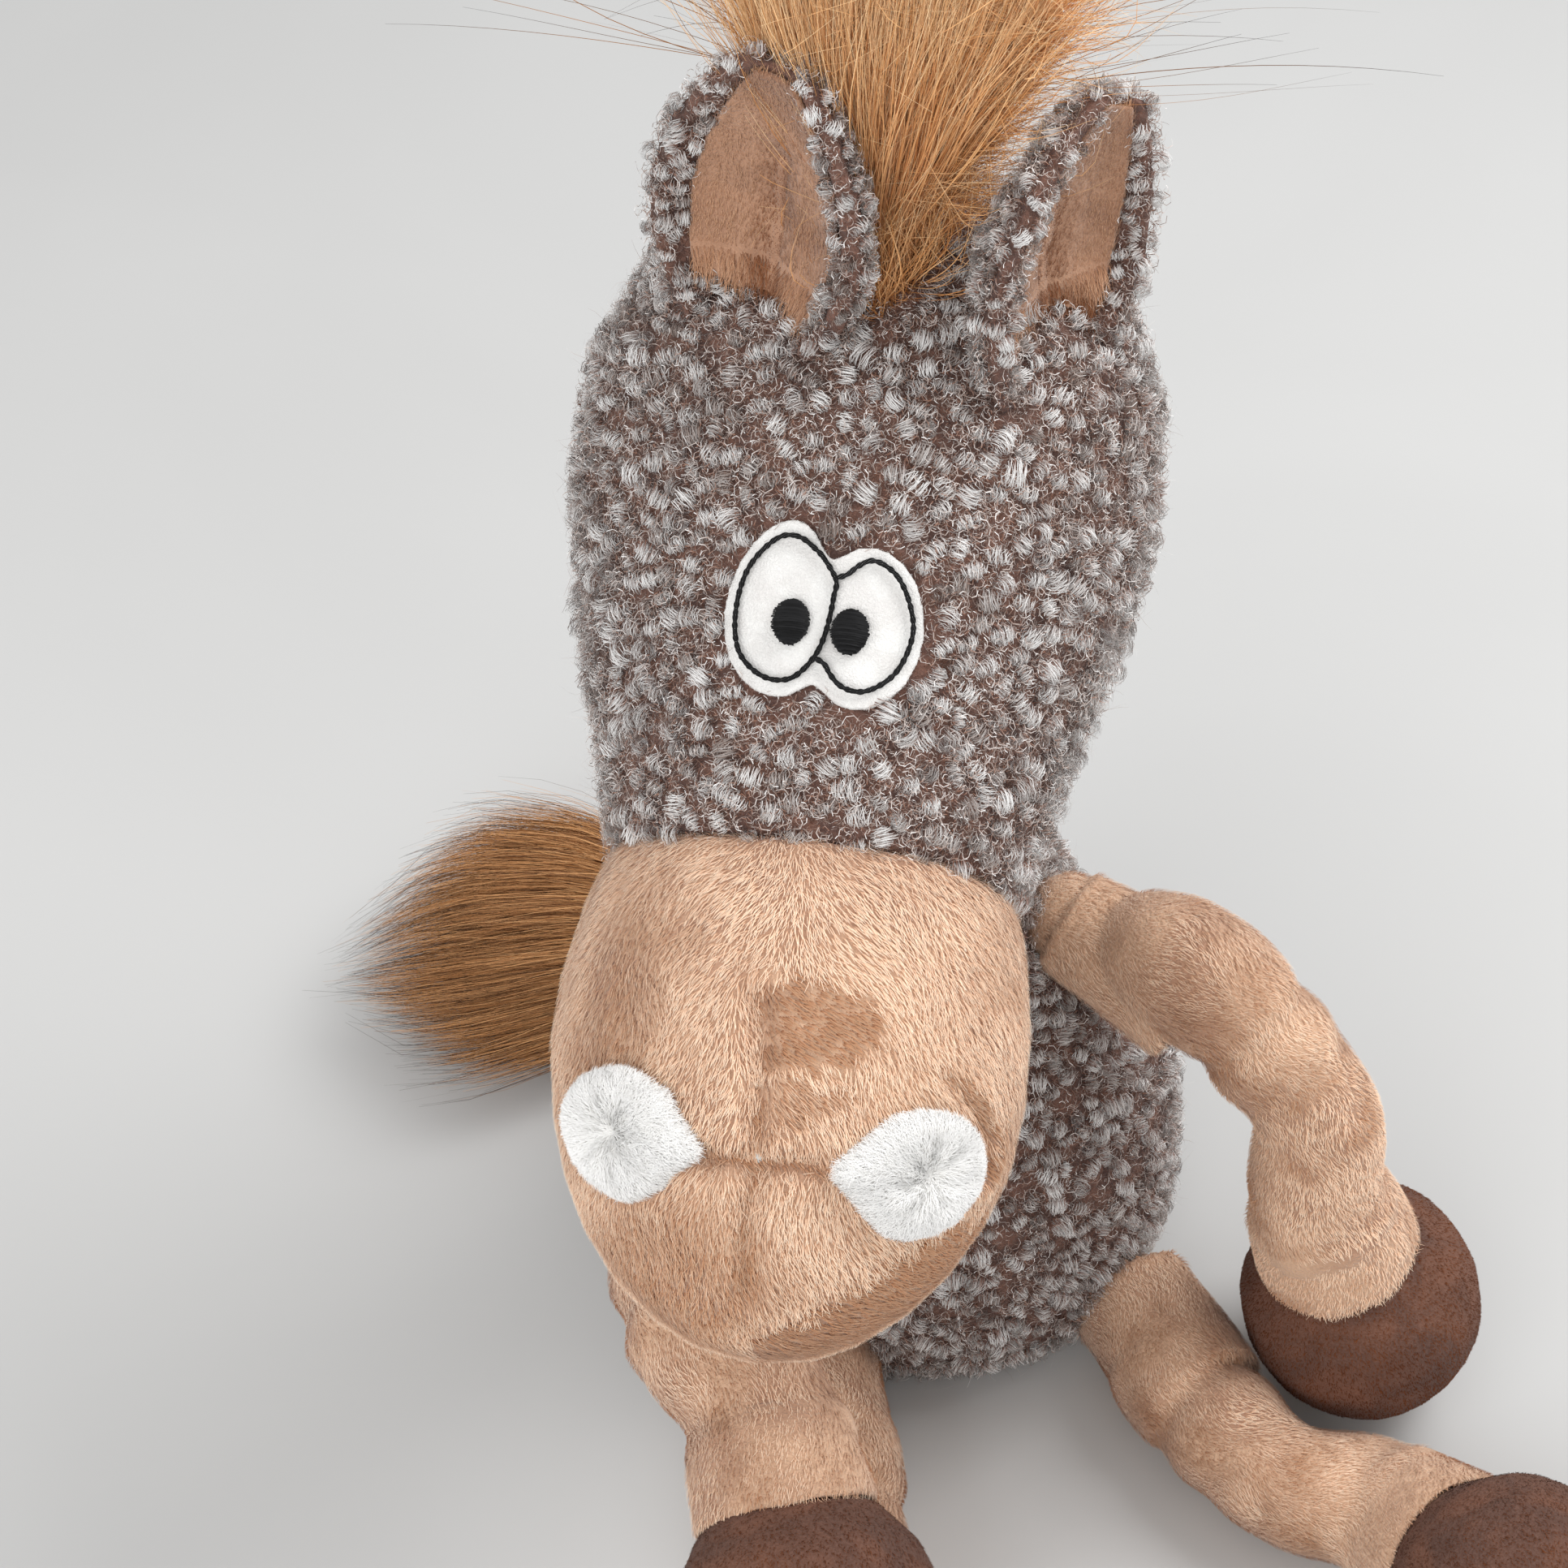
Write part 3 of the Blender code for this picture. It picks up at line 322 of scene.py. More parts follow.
mane_hair = fibre_finish(
    "mane fur", (0.58, 0.28, 0.11), (0.96, 0.56, 0.26), (0.97, 0.74, 0.46),
    0.25, 0.60, (0.62, 0.46, 0.32), 0.45, 0.1
)
mane_dark_hair = fibre_finish(
    "mane guard hair", (0.40, 0.19, 0.07), (0.40, 0.19, 0.075), (0.022, 0.014, 0.010),
    0.30, 0.45, (0.5, 0.5, 0.5), 0.45, 0.0
)
tail_hair = fibre_finish(
    "tail fur", (0.55, 0.28, 0.12), (0.80, 0.46, 0.21), (0.74, 0.40, 0.18),
    0.25, 0.60, (0.55, 0.44, 0.34), 0.45, 0.1
)
tail_dark_hair = fibre_finish(
    "tail guard hair", (0.52, 0.26, 0.11), (0.30, 0.135, 0.055), (0.018, 0.011, 0.009),
    0.45, 0.60, (0.5, 0.5, 0.5), 0.45, 0.0
)
black_thread = fibre_finish(
    "black thread", (0.010, 0.010, 0.011), (0.013, 0.013, 0.014), (0.012, 0.012, 0.013),
    0.3, 0.7, (0.35, 0.35, 0.35), 0.55, 0.2
)
print("Materials:", len(bpy.data.materials))

# %% [markdown]
# A pale floor catches the soft shadow. The light is a bright room, a large soft lamp from the horse's
# left and behind, which rims the curls, and a weaker one in front.

# %% Floor, room and lamps
FLOOR_HALF = 3.0
floor_mesh = bpy.data.meshes.new("floor")
floor_corners = [(x * FLOOR_HALF, y * FLOOR_HALF, 0) for x, y in ((-1, -1), (1, -1), (1, 1), (-1, 1))]
floor_mesh.from_pydata(floor_corners, [], [(0, 1, 2, 3)])
floor = bpy.data.objects.new("floor", floor_mesh)
bpy.context.collection.objects.link(floor)
floor_finish, floor_tree, floor_shader = start_finish("pale floor", 0.9)
floor_values = {
    "Light": (0.585, 0.585, 0.58, 1),
    "Dark": (0.565, 0.565, 0.56, 1),
    "Drift Scale": 3.0,
    "Fleck Scale": 300.0,
    "Fleck Amount": 0.02,
}
floor_outputs = group_node(floor_tree, nap, floor_values)
floor_tree.links.new(floor_outputs["Colour"], floor_shader.inputs["Base Color"])
floor_mesh.materials.append(floor_finish)

world = bpy.data.worlds.new("room")
world.use_nodes = True
world.node_tree.nodes["Background"].inputs["Color"].default_value = (1, 1, 1, 1)
world.node_tree.nodes["Background"].inputs["Strength"].default_value = 0.72
bpy.context.scene.world = world

LAMPS = {
    "soft key": ((0.62, 0.22, 0.95), 0.7, 8.5),
    "front fill": ((-0.45, -0.95, 0.75), 1.0, 7.8),
}
for lamp_name, (lamp_place, lamp_side, lamp_power) in LAMPS.items():
    lamp_data = bpy.data.lights.new(lamp_name, "AREA")
    lamp_data.size = lamp_side
    lamp_data.energy = lamp_power
    lamp = bpy.data.objects.new(lamp_name, lamp_data)
    lamp.location = lamp_place
    lamp.rotation_mode = "QUATERNION"
    lamp.rotation_quaternion = (LOOK_AT - lamp.location).to_track_quat("-Z", "Y")
    bpy.context.collection.objects.link(lamp)
print("Lamps:", list(LAMPS))

# %% [markdown]
# Each soft piece starts from its own solid. The solids of a cover and of what fills it are remeshed
# together into one fine skin, which closes the small gap between them, and the skin is relaxed so that
# its facets go.


# %% Helpers that read solids
HEAD_AIM = Vector((-0.127, -0.848, -0.515)).normalized()
HEAD_SIDE = Vector((0, 0, 1)).cross(HEAD_AIM).normalized()
HEAD_TOP = HEAD_AIM.cross(HEAD_SIDE).normalized()


def read_points(obj):
    """The points of an object's mesh in the frame, as an array."""
    points = np.empty(len(obj.data.vertices) * 3, dtype=np.float32)
    obj.data.vertices.foreach_get("co", points)
    turn = np.array(obj.matrix_world)
    return points.reshape(-1, 3) @ turn[:3, :3].T + turn[:3, 3]


def write_points(obj, points):
    """Moves the points of an object's mesh."""
    obj.data.vertices.foreach_set("co", np.asarray(points, dtype=np.float32).ravel())
    obj.data.update()


def read_normals(obj):
    """The way out of the mesh at each of its points."""
    normals = np.empty(len(obj.data.vertices) * 3, dtype=np.float32)
    obj.data.vertex_normals.foreach_get("vector", normals)
    return normals.reshape(-1, 3)


def gather(names):
    """The points and faces of some nodes together."""
    points = []
    faces = []
    for name in names:
        start = len(points)
        points.extend(Vector(point) for point in read_points(nodes[name]))
        faces.extend([start + index for index in face.vertices] for face in nodes[name].data.polygons)
    return points, faces


def tree_of(names):
    """The solids of some nodes, ready for rays and nearest places."""
    return BVHTree.FromPolygons(*gather(names))


def piece(name, mesh, material):
    """An object with a mesh and its material."""
    mesh.materials.clear()
    mesh.materials.append(material)
    made = bpy.data.objects.new(name, mesh)
    bpy.context.collection.objects.link(made)
    return made


def settle(obj):
    """Replaces an object's mesh by what its modifiers make of it."""
    shaped = bpy.data.meshes.new_from_object(obj.evaluated_get(bpy.context.evaluated_depsgraph_get()))
    obj.modifiers.clear()
    old = obj.data
    obj.data = shaped
    bpy.data.meshes.remove(old)


def keep_largest(obj):
    """Takes away hollows that the remesh left inside: only the largest shell stays."""
    shape = bmesh.new()
    shape.from_mesh(obj.data)
    left = set(shape.verts)
    shells = []
    while left:
        shell = {left.pop()}
        edge = list(shell)
        while edge:
            vertex = edge.pop()
            for link in vertex.link_edges:
                other = link.other_vert(vertex)
                if other in left:
                    left.remove(other)
                    shell.add(other)
                    edge.append(other)
        shells.append(shell)
    shells.sort(key=len)
    for shell in shells[:-1]:
        bmesh.ops.delete(shape, geom=list(shell), context="VERTS")
    shape.to_mesh(obj.data)
    shape.free()


def skin(name, sources, voxel, rounds, material):
    """One fine skin round the solids of some nodes."""
    points, faces = gather(sources)
    mesh = bpy.data.meshes.new(name)
    mesh.from_pydata(points, [], faces)
    made = piece(name, mesh, material)
    remesh = made.modifiers.new("remesh", "REMESH")
    remesh.mode = "VOXEL"
    remesh.voxel_size = voxel
    remesh.use_smooth_shade = True
    relax = made.modifiers.new("relax", "SMOOTH")
    relax.factor = 0.5
    relax.iterations = rounds
    settle(made)
    keep_largest(made)
    made.data.shade_smooth()
    made.data.materials.clear()
    made.data.materials.append(material)
    print(name, len(made.data.polygons), "faces")
    return made


# %% [markdown]
# Fibres are thin ribbons, made thousands at a time from arrays. Each ribbon carries two values for its
# finish: how far along it a point lies, and its tone, which on some fibres holds painted shade and
# painted highlight.


# %% Helpers that make fibres
def unit(ways):
    """The same ways, each of length one."""
    return ways / np.maximum(np.linalg.norm(ways, axis=-1, keepdims=True), 1e-9)


def ribbons(name, lines, widths, tones, material):
    """One mesh of ribbons. Lines is fibres x points x 3, and widths is half a width with its way."""
    count, steps = lines.shape[:2]
    points = np.stack([lines - widths, lines + widths], axis=2)
    points[..., 2] = np.maximum(points[..., 2], FLOOR_GAP)
    mesh = bpy.data.meshes.new(name)
    mesh.vertices.add(count * steps * 2)
    mesh.vertices.foreach_set("co", points.astype(np.float32).ravel())
    base = (np.arange(count)[:, None] * steps + np.arange(steps - 1)[None, :]) * 2
    quads = np.stack([base, base + 1, base + 3, base + 2], axis=-1).reshape(-1, 4).astype(np.int32)
    mesh.loops.add(quads.size)
    mesh.loops.foreach_set("vertex_index", quads.ravel())
    mesh.polygons.add(len(quads))
    mesh.polygons.foreach_set("loop_start", np.arange(0, quads.size, 4, dtype=np.int32))
    mesh.update(calc_edges=True)
    mesh.shade_smooth()
    part = np.broadcast_to(np.linspace(0, 1, steps)[None, :, None], (count, steps, 2))
    own = np.broadcast_to(np.asarray(tones)[:, None, None], (count, steps, 2))
    for label, values in (("along", part), ("tone", own)):
        layer = mesh.attributes.new(label, "FLOAT", "POINT")
        layer.data.foreach_set("value", values.astype(np.float32).ravel())
    return piece(name, mesh, material)


def sample(obj, count, keep=None):
    """Random places on a skin, with the way out of it."""
    mesh = obj.data
    mesh.calc_loop_triangles()
    corners = np.empty(len(mesh.loop_triangles) * 3, dtype=np.int32)
    mesh.loop_triangles.foreach_get("vertices", corners)
    corners = corners.reshape(-1, 3)
    points = read_points(obj)
    normals = read_normals(obj)
    first, second, third = (points[corners[:, index]] for index in range(3))
    areas = np.linalg.norm(np.cross(second - first, third - first), axis=1)
    picked = rng.choice(len(areas), count, p=areas / areas.sum())
    root = np.sqrt(rng.random(count))
    across = rng.random(count)
    shares = np.stack([1 - root, root * (1 - across), root * across], axis=1)[:, :, None]
    spots = (points[corners[picked]] * shares).sum(axis=1)
    ways = unit((normals[corners[picked]] * shares).sum(axis=1))
    if keep is not None:
        chosen = keep(spots, ways)
        spots = spots[chosen]
        ways = ways[chosen]
    return spots, ways


def thin_out(spots, ways, spacing):
    """Keeps places that stand at least a spacing apart."""
    cells = {}
    chosen = []
    keys = np.floor(spots / spacing).astype(int)
    steps = [(i, j, k) for i in (-1, 0, 1) for j in (-1, 0, 1) for k in (-1, 0, 1)]
    for index, key in enumerate(keys):
        spot = spots[index]
        near = (cells.get((key[0] + i, key[1] + j, key[2] + k)) for i, j, k in steps)
        if all(other is None or ((spots[other] - spot) ** 2).sum() > spacing**2 for other in near):
            cells[tuple(key)] = index
            chosen.append(index)
    return spots[chosen], ways[chosen]


def reach_of(tree, spots):
    """The distance of each place from a tree's surface."""
    return np.array([tree.find_nearest(Vector(spot))[3] for spot in spots])


def flat_on(ways, lay):
    """A lay, brought into the plane of the cloth."""
    return unit(lay - ways * (lay * ways).sum(axis=1, keepdims=True))


def turned(ways, axes, angles):
    """Ways turned round unit axes that stand square to them."""
    cosine = np.cos(angles)[:, None]
    sine = np.sin(angles)[:, None]
    return ways * cosine + np.cross(axes, ways) * sine


# %% [markdown]
# The curly plush is a knit with small rolled locks of grey-white wool over a red-brown ground. A lock is
# built as a bundle of ribbons that roll over one axis like a barrel: they start at the ground, go over
# the top and curl in.


# %% Helper that makes rolled locks
def cloudy(spots, size, seed):
    """A soft random value at each place, from about -1 to 1."""
    shift = Vector((seed, 1.7, seed))
    return np.array([noise.noise(Vector(spot) / size + shift) for spot in spots])


LOCK_STRANDS = 28
LOCK_STEPS = 7
LOCK_BATCH = 580
LOCK_HALF_WIDTH = 0.074 * MM
TANGLE_STEPS = 6
TANGLE_BATCH = 19000
TANGLE_HALF_WIDTH = 0.075 * MM


def locks(name, spots, ways, size, fall, material, body):
    """Rolled locks in batches, each a piece that rides on the body."""
    made = []
    patch = cloudy(spots, 8 * MM, 9.0) + rng.normal(0, 0.05, len(spots))
    full = patch > -0.47
    spots, ways, patch = spots[full], ways[full], patch[full]
    for batch, start in enumerate(range(0, len(spots), LOCK_BATCH)):
        spot = spots[start : start + LOCK_BATCH]
        way = ways[start : start + LOCK_BATCH]
        fuller = patch[start : start + LOCK_BATCH]
        count = len(spot)
        lay = flat_on(way, np.broadcast_to(fall, way.shape))
        lay = turned(lay, way, rng.normal(0, 0.7, count))
        axis = np.cross(way, lay)
        axis = unit(axis + way * rng.normal(0, 0.45, count)[:, None])
        out = unit(way - axis * (axis * way).sum(axis=1, keepdims=True))
        side = np.cross(axis, out)
        radius = size * rng.uniform(0.70, 1.22, count) * (1 + 0.40 * fuller)
        width = size * rng.uniform(0.75, 1.15, count)
        centre = spot + way * (radius * 0.62)[:, None]
        offset = np.linspace(-1, 1, LOCK_STRANDS)[None, :] + rng.normal(0, 0.16, (count, LOCK_STRANDS))
        barrel = np.sqrt(np.clip(1 - 0.62 * offset**2, 0.05, 1))
        barrel = barrel * rng.uniform(0.62, 1.16, (count, LOCK_STRANDS))
        part = np.linspace(0, 1, LOCK_STEPS)[None, None, :]
        begin = -2.0 + rng.normal(0, 0.5, (count, LOCK_STRANDS, 1))
        sweep = rng.uniform(4.2, 7.6, (count, 1, 1)) + rng.normal(0, 0.7, (count, LOCK_STRANDS, 1))
        angle = begin + sweep * part
        shrink = 1 - 0.50 * part**1.6
        arm = (radius[:, None] * barrel)[:, :, None] * shrink
        slant = rng.normal(0, 0.62, (count, LOCK_STRANDS, 1)) * (part - 0.3)
        drift_out = width[:, None, None] * (offset[:, :, None] * (1 - 0.35 * part) + slant)
        lines = (
            centre[:, None, None, :]
            + axis[:, None, None, :] * drift_out[..., None]
            + out[:, None, None, :] * (arm * np.cos(angle))[..., None]
            + side[:, None, None, :] * (arm * np.sin(angle))[..., None]
        )
        lines = lines + rng.normal(0, 0.17 * MM, lines.shape)
        half = LOCK_HALF_WIDTH * (1 - 0.75 * part**3)
        widths = np.broadcast_to(axis[:, None, None, :], lines.shape) * half[..., None]
        own = rng.normal(0.70, 0.20, (count, 1)) + 0.70 * fuller[:, None]
        own = np.clip(own + rng.normal(0, 0.18, (count, LOCK_STRANDS)), 0, 1)
        steps = (count * LOCK_STRANDS, LOCK_STEPS, 3)
        label = name + "_" + str(batch + 1)
        cluster = ribbons(label, lines.reshape(steps), widths.reshape(steps), own.ravel(), material)
        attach(cluster, body)
        made.append(cluster)
    print(name, len(spots), "locks in", len(made), "pieces")
    return made


def tangle(name, spots, ways, size, height, material, body):
    """Short curled hairs that fill the cloth between the locks, in batches."""
    for batch, start in enumerate(range(0, len(spots), TANGLE_BATCH)):
        spot = spots[start : start + TANGLE_BATCH]
        way = ways[start : start + TANGLE_BATCH]
        count = len(spot)
        side = flat_on(way, rng.normal(0, 1, (count, 3)))
        tilt = unit(way + rng.normal(0, 0.45, (count, 3)))
        ahead = np.cross(tilt, side)
        lift = height * rng.random(count) ** 1.3
        radius = (size * rng.uniform(0.5, 1.4, count))[:, None, None]
        part = np.linspace(0, 1, TANGLE_STEPS)[None, :, None]
        angle = rng.uniform(2.0, 5.5, (count, 1, 1)) * part
        lines = (spot + way * lift[:, None])[:, None, :] + side[:, None, :] * (radius * (np.cos(angle) - 1))
        lines = lines + ahead[:, None, :] * (radius * np.sin(angle)) + way[:, None, :] * (size * 0.6 * part)
        widths = np.broadcast_to(side[:, None, :] * TANGLE_HALF_WIDTH, lines.shape)
        # Hairs that start lower are painted darker, as painted shade low in the wool, with a random tone on
        # top
        own = np.clip(0.28 + 0.65 * (lift / height) + rng.normal(0, 0.20, count), 0, 1)
        made = ribbons(name + "_" + str(batch + 1), lines, widths, own, material)
        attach(made, body)
    print(name, len(spots), "curled hairs")


def fuzz(name, spots, ways, length, spread, half_width, material, body, slot, steps=6):
    """Single loose hairs that stand off the cloth in random bends."""
    count = len(spots)
    bend = unit(rng.normal(0, 1, (count, 3)))
    lean = unit(ways + rng.normal(0, spread, (count, 3)))
    reach = length * rng.uniform(0.5, 1.3, count)
    part = np.linspace(0, 1, steps)[None, :, None]
    curve = flat_on(lean, bend)
    swing = np.sin(part * rng.uniform(2.0, 5.0, (count, 1, 1)))
    lines = spots[:, None, :] + lean[:, None, :] * (reach[:, None, None] * part)
    lines = lines + curve[:, None, :] * (reach[:, None, None] * 0.55 * swing)
    widths = np.cross(lean, curve)[:, None, :] * (half_width * (1 - 0.7 * part))
    made = ribbons(name, lines, np.broadcast_to(widths, lines.shape), rng.uniform(0.3, 1, count), material)
    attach(made, body)
    print(name, count, "hairs")
    return made


# %% Helper that covers a skin with wool
LOCK_SIZE = 2.3 * MM
LOCK_SPACING = 3.9 * MM
CURL_SIZE = 1.3 * MM
CURL_HEIGHT = 3.2 * MM
FUZZ_LENGTH = 6.0 * MM
FUZZ_SPREAD = 0.7
FUZZ_HALF_WIDTH = 0.045 * MM


def wool(name, obj, keep, fall, tries, sizes=(LOCK_SIZE, LOCK_SPACING, CURL_SIZE, CURL_HEIGHT)):
    """Locks, curled hairs and loose hairs on the skin of one body. Tries are the places tried for each."""
    lock_size, spacing, curl_size, height = sizes
    spots, ways = thin_out(*sample(obj, tries[0], keep), spacing)
    locks(name + "_locks", spots, ways, lock_size, fall, curl_hair, name)
    spots, ways = sample(obj, tries[1], keep)
    tangle(name + "_wool", spots, ways, curl_size, height, curl_fuzz, name)
    if len(tries) > 2:
        spots, ways = sample(obj, tries[2], keep)
        looks = (FUZZ_SPREAD, FUZZ_HALF_WIDTH, curl_fuzz)
        fuzz(name + "_fuzz", spots, ways, FUZZ_LENGTH, *looks, name, "curly_plush")


# %% [markdown]
# Short plush has a dense pile that lies one way, so its fibres are short ribbons that lean along a lay.
# The lay is given for every place, and so is each fibre's tone.


# %% Helper that makes a short pile
PILE_LEAN = 1.15


def pile(name, spots, ways, lay, length, lean, half_width, tones, material):
    """Short fibres that leave the cloth and lean over along their lay."""
    count = len(spots)
    flow = flat_on(ways, lay + rng.normal(0, 0.22, (count, 3)))
    reach = (length * rng.uniform(0.7, 1.2, count))[:, None]
    middle = spots + (ways * math.cos(lean) * 1.15 + flow * math.sin(lean) * 0.8) * reach * 0.5
    tip = spots + (ways * math.cos(lean) * 0.75 + flow * math.sin(lean) * 1.15) * reach
    lines = np.stack([spots - ways * 0.1 * MM, middle, tip], axis=1)
    taper = np.array([1.0, 0.9, 0.25])[None, :, None]
    widths = np.cross(flow, ways)[:, None, :] * (half_width * taper)
    return ribbons(name, lines, np.broadcast_to(widths, lines.shape), tones, material)


# %% Helpers that place and shape pieces
joints = {joint["name"]: Vector(joint["pos_m"]) for joint in frame["record"]["behaviour"]["joints"]}


def put(obj, body, replaced=()):
    """Attaches a piece to its body and hides the solids that it stands for."""
    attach(obj, body)
    if replaced:
        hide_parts(*replaced)


def lumps(obj, size, depth, seed=0.0):
    """Soft unevenness, as filling pushes a cover out here and there."""
    points = read_points(obj)
    normals = read_normals(obj)
    shift = Vector((seed, seed * 0.7, seed * 1.3))
    rise = np.array([noise.noise(Vector(point) / size + shift) for point in points])
    write_points(obj, points + normals * (rise * depth)[:, None])


def press(obj, line, width, depth):
    """Draws a skin in along a seam."""
    points = read_points(obj)
    tree = seam_tree(line)
    gap = np.array([tree.find(Vector(point))[2] for point in points])
    groove = np.exp(-((gap / width) ** 2))
    lip = np.exp(-(((gap - width * 2.2) / width) ** 2))
    rise = -depth * groove + depth * 0.35 * lip
    write_points(obj, points + read_normals(obj) * rise[:, None])


SEAM_PARTS = 12


def seam_tree(line):
    """Places close together along a line, ready for nearest distances."""
    pairs = list(zip(line, line[1:]))
    spots = [first.lerp(second, part / SEAM_PARTS) for first, second in pairs for part in range(SEAM_PARTS)]
    tree = KDTree(len(spots))
    for index, spot in enumerate(spots):
        tree.insert(spot, index)
    tree.balance()
    return tree


def on_skin(tree, pixels):
    """The places of some pixels of the picture on a skin."""
    hits = [tree.ray_cast(CAMERA_PLACE, pixel_way(u, v))[0] for u, v in pixels]
    return [hit for hit in hits if hit is not None]


def pixels_of(spots):
    """The pixels that places show at, and how far each is from the camera."""
    seen = (spots - np.array(CAMERA_PLACE)) @ np.array(camera_turn.to_matrix())
    scale = IMAGE_SIDE * LENS / SENSOR / -seen[:, 2]
    return IMAGE_SIDE / 2 + seen[:, 0] * scale, IMAGE_SIDE / 2 - seen[:, 1] * scale


def facing(spots, ways):
    """How far each place faces the camera, from -1 to 1."""
    return (unit(np.array(CAMERA_PLACE) - spots) * ways).sum(axis=1)


# %% [markdown]
# The body is a pear of curly plush over fibre filling, with a bag of pellets in its seat. Its skin is the
# red-brown ground, and the rolled locks stand on it wherever no limb, neck or floor touches.

# %% Body and neck
DOWN = np.array((0.0, -0.2, -1.0))

torso = skin("torso_plush", ["torso_cover", "torso_stuffing", "pellet_bag"], 2.2 * MM, 6, curl_ground)
lumps(torso, 26 * MM, 1.2 * MM)
put(torso, "torso", ["torso_cover"])
limb_solids = [name for name in nodes if name.split("_")[0] in ("upper", "thigh")] + ["tail"]
limb_reach = tree_of(limb_solids)
neck_reach = tree_of(["neck"])


def bare_body(spots, ways):
    """Places that no limb, tail, neck or floor touches."""
    clear = (reach_of(limb_reach, spots) > 0.9 * MM) & (reach_of(neck_reach, spots) > 1.0 * MM)
    return clear & (spots[:, 2] > 2.5 * MM)


wool("torso", torso, bare_body, DOWN, (26000, 40000, 2500))

neck = skin("neck_plush", ["neck"], 2.2 * MM, 3, curl_ground)
put(neck, "neck", ["neck"])
head_reach = tree_of(["head_cover"])


def bare_neck(spots, ways):
    """Places round the neck, clear of the head and of the body."""
    clear = reach_of(head_reach, spots) > 2.5 * MM
    return clear & (spots[:, 2] > joints["neck_turn"].z + 1 * MM) & (np.abs(ways[:, 2]) < 0.7)


wool("neck", neck, bare_neck, DOWN, (14000, 19000))

# %% [markdown]
# The head is a long sleeve of the same curly plush. Locks stay off the eye patch, the ears, the mane's
# strip and the muzzle, and they roll down towards the muzzle. Loose hairs blur the left side, where the
# wool is brushed out.

# %% Head
head = skin("head_plush", ["head_cover", "head_stuffing"], 2.0 * MM, 6, curl_ground)
lumps(head, 24 * MM, 1.0 * MM, 3.0)
put(head, "head", ["head_cover"])
patch_reach = tree_of(["eye_patch"])
crown_reach = tree_of(["ear_left_outer", "ear_right_outer"])
mane_reach = tree_of(["mane"])
mane_root = read_points(nodes["mane"])
mane_root = mane_root[mane_root[:, 2] < np.quantile(mane_root[:, 2], 0.1)]
muzzle_points = read_points(nodes["muzzle_cover"])
seam_along = float((muzzle_points @ np.array(HEAD_AIM)).min())


def forelock(spots, ways):
    """The wedge of forehead below the mane, where its short front hairs are sewn in."""
    u, v = pixels_of(spots)
    wedge = (u > 1074 - (398 - v) * 0.45) & (u < 1088 + (398 - v) * 0.95) & (v < 398) & (v > 150)
    clear = reach_of(crown_reach, spots) > 1.5 * MM
    return wedge & clear & (ways[:, 2] > 0) & (spots[:, 1] < float(np.mean(mane_root[:, 1])) + 4 * MM)


def bare_head(spots, ways):
    """Places clear of the muzzle, eyes, ears, neck and mane."""
    clear = spots @ np.array(HEAD_AIM) < seam_along + 0.6 * MM
    clear &= reach_of(patch_reach, spots) > 1.5 * MM
    clear &= reach_of(crown_reach, spots) > 1.8 * MM
    clear &= reach_of(neck_reach, spots) > 3.0 * MM
    return clear & (reach_of(mane_reach, spots) > 1.0 * MM) & ~forelock(spots, ways)


head_fall = np.array(HEAD_AIM * 0.9 - HEAD_TOP * 0.2)
wool("head", head, bare_head, head_fall, (24000, 62000, 3500))

# %% [markdown]
# The ears are leaves of curly plush with a smooth lining sewn into the cup. Smaller locks cover the back
# and the rim. The lining is pressed in along its middle, and its fine pile is painted darker there, as
# painted shade in the fold. The pile lies towards the tip, but at the lower edge it is longer and hangs
# down, so that the edge looks ragged.

# %% Ears
def middle_line(points, shares):
    """A line up the middle of a leaf, through the means of its levels."""
    low, high = points[:, 2].min(), points[:, 2].max()
    levels = [low + (high - low) * share for share in shares]
    reach = (high - low) * 0.08
    return [Vector(points[np.abs(points[:, 2] - level) < reach].mean(axis=0)) for level in levels]


EAR_FALL = np.array((0.0, 0.0, -1.0))
EAR_WOOL = (1.7 * MM, 3.0 * MM, 1.1 * MM, 2.4 * MM)
for side in ("ear_left", "ear_right"):
    outer = skin(side + "_plush", [side + "_outer"], 0.9 * MM, 3, curl_ground)
    put(outer, side, [side + "_outer"])
    lining = skin(side + "_smooth_lining", [side + "_lining"], 0.6 * MM, 3, lining_plush)
    lining_tree = tree_of([side + "_lining"])
    fold = middle_line(read_points(lining), (0.02, 0.15, 0.30, 0.45, 0.60))
    fold = [lining_tree.ray_cast(CAMERA_PLACE, spot - CAMERA_PLACE)[0] or spot for spot in fold]
    press(lining, fold, 2.6 * MM, 1.1 * MM)
    fold_tree = seam_tree(fold)
    put(lining, side, [side + "_lining"])
    lining_reach = tree_of([side + "_lining"])

    def bare_ear(spots, ways):
        return (reach_of(lining_reach, spots) > 1.1 * MM) & (reach_of(head_reach, spots) > 1.2 * MM)

    wool(side, outer, bare_ear, EAR_FALL, (9000, 8000), EAR_WOOL)
    spots, ways = sample(lining, 9000)
    bottom = np.quantile(spots[:, 2], 0.16)
    low_edge = (spots[:, 2] < bottom)[:, None]
    lay = np.where(low_edge, np.array((0.0, -0.2, -1.0)), np.array((0.1, 0.1, 1.0)))
    fibre_length = np.where(low_edge[:, 0], 3.2 * MM, 1.5 * MM)
    gap = np.array([fold_tree.find(Vector(spot))[2] for spot in spots])
    # Painted shade in the fold down the middle of the lining
    fold_shade = np.exp(-((gap / (4.2 * MM)) ** 2))
    tones = 0.90 - 1.10 * fold_shade + 0.3 * cloudy(spots, 8 * MM, 3.0)
    tones = np.clip(tones + rng.normal(0, 0.14, len(spots)), 0, 1)
    name = side + "_lining_pile"
    fine = pile(name, spots, ways, lay, fibre_length, PILE_LEAN, 0.055 * MM, tones, lining_hair)
    put(fine, side)
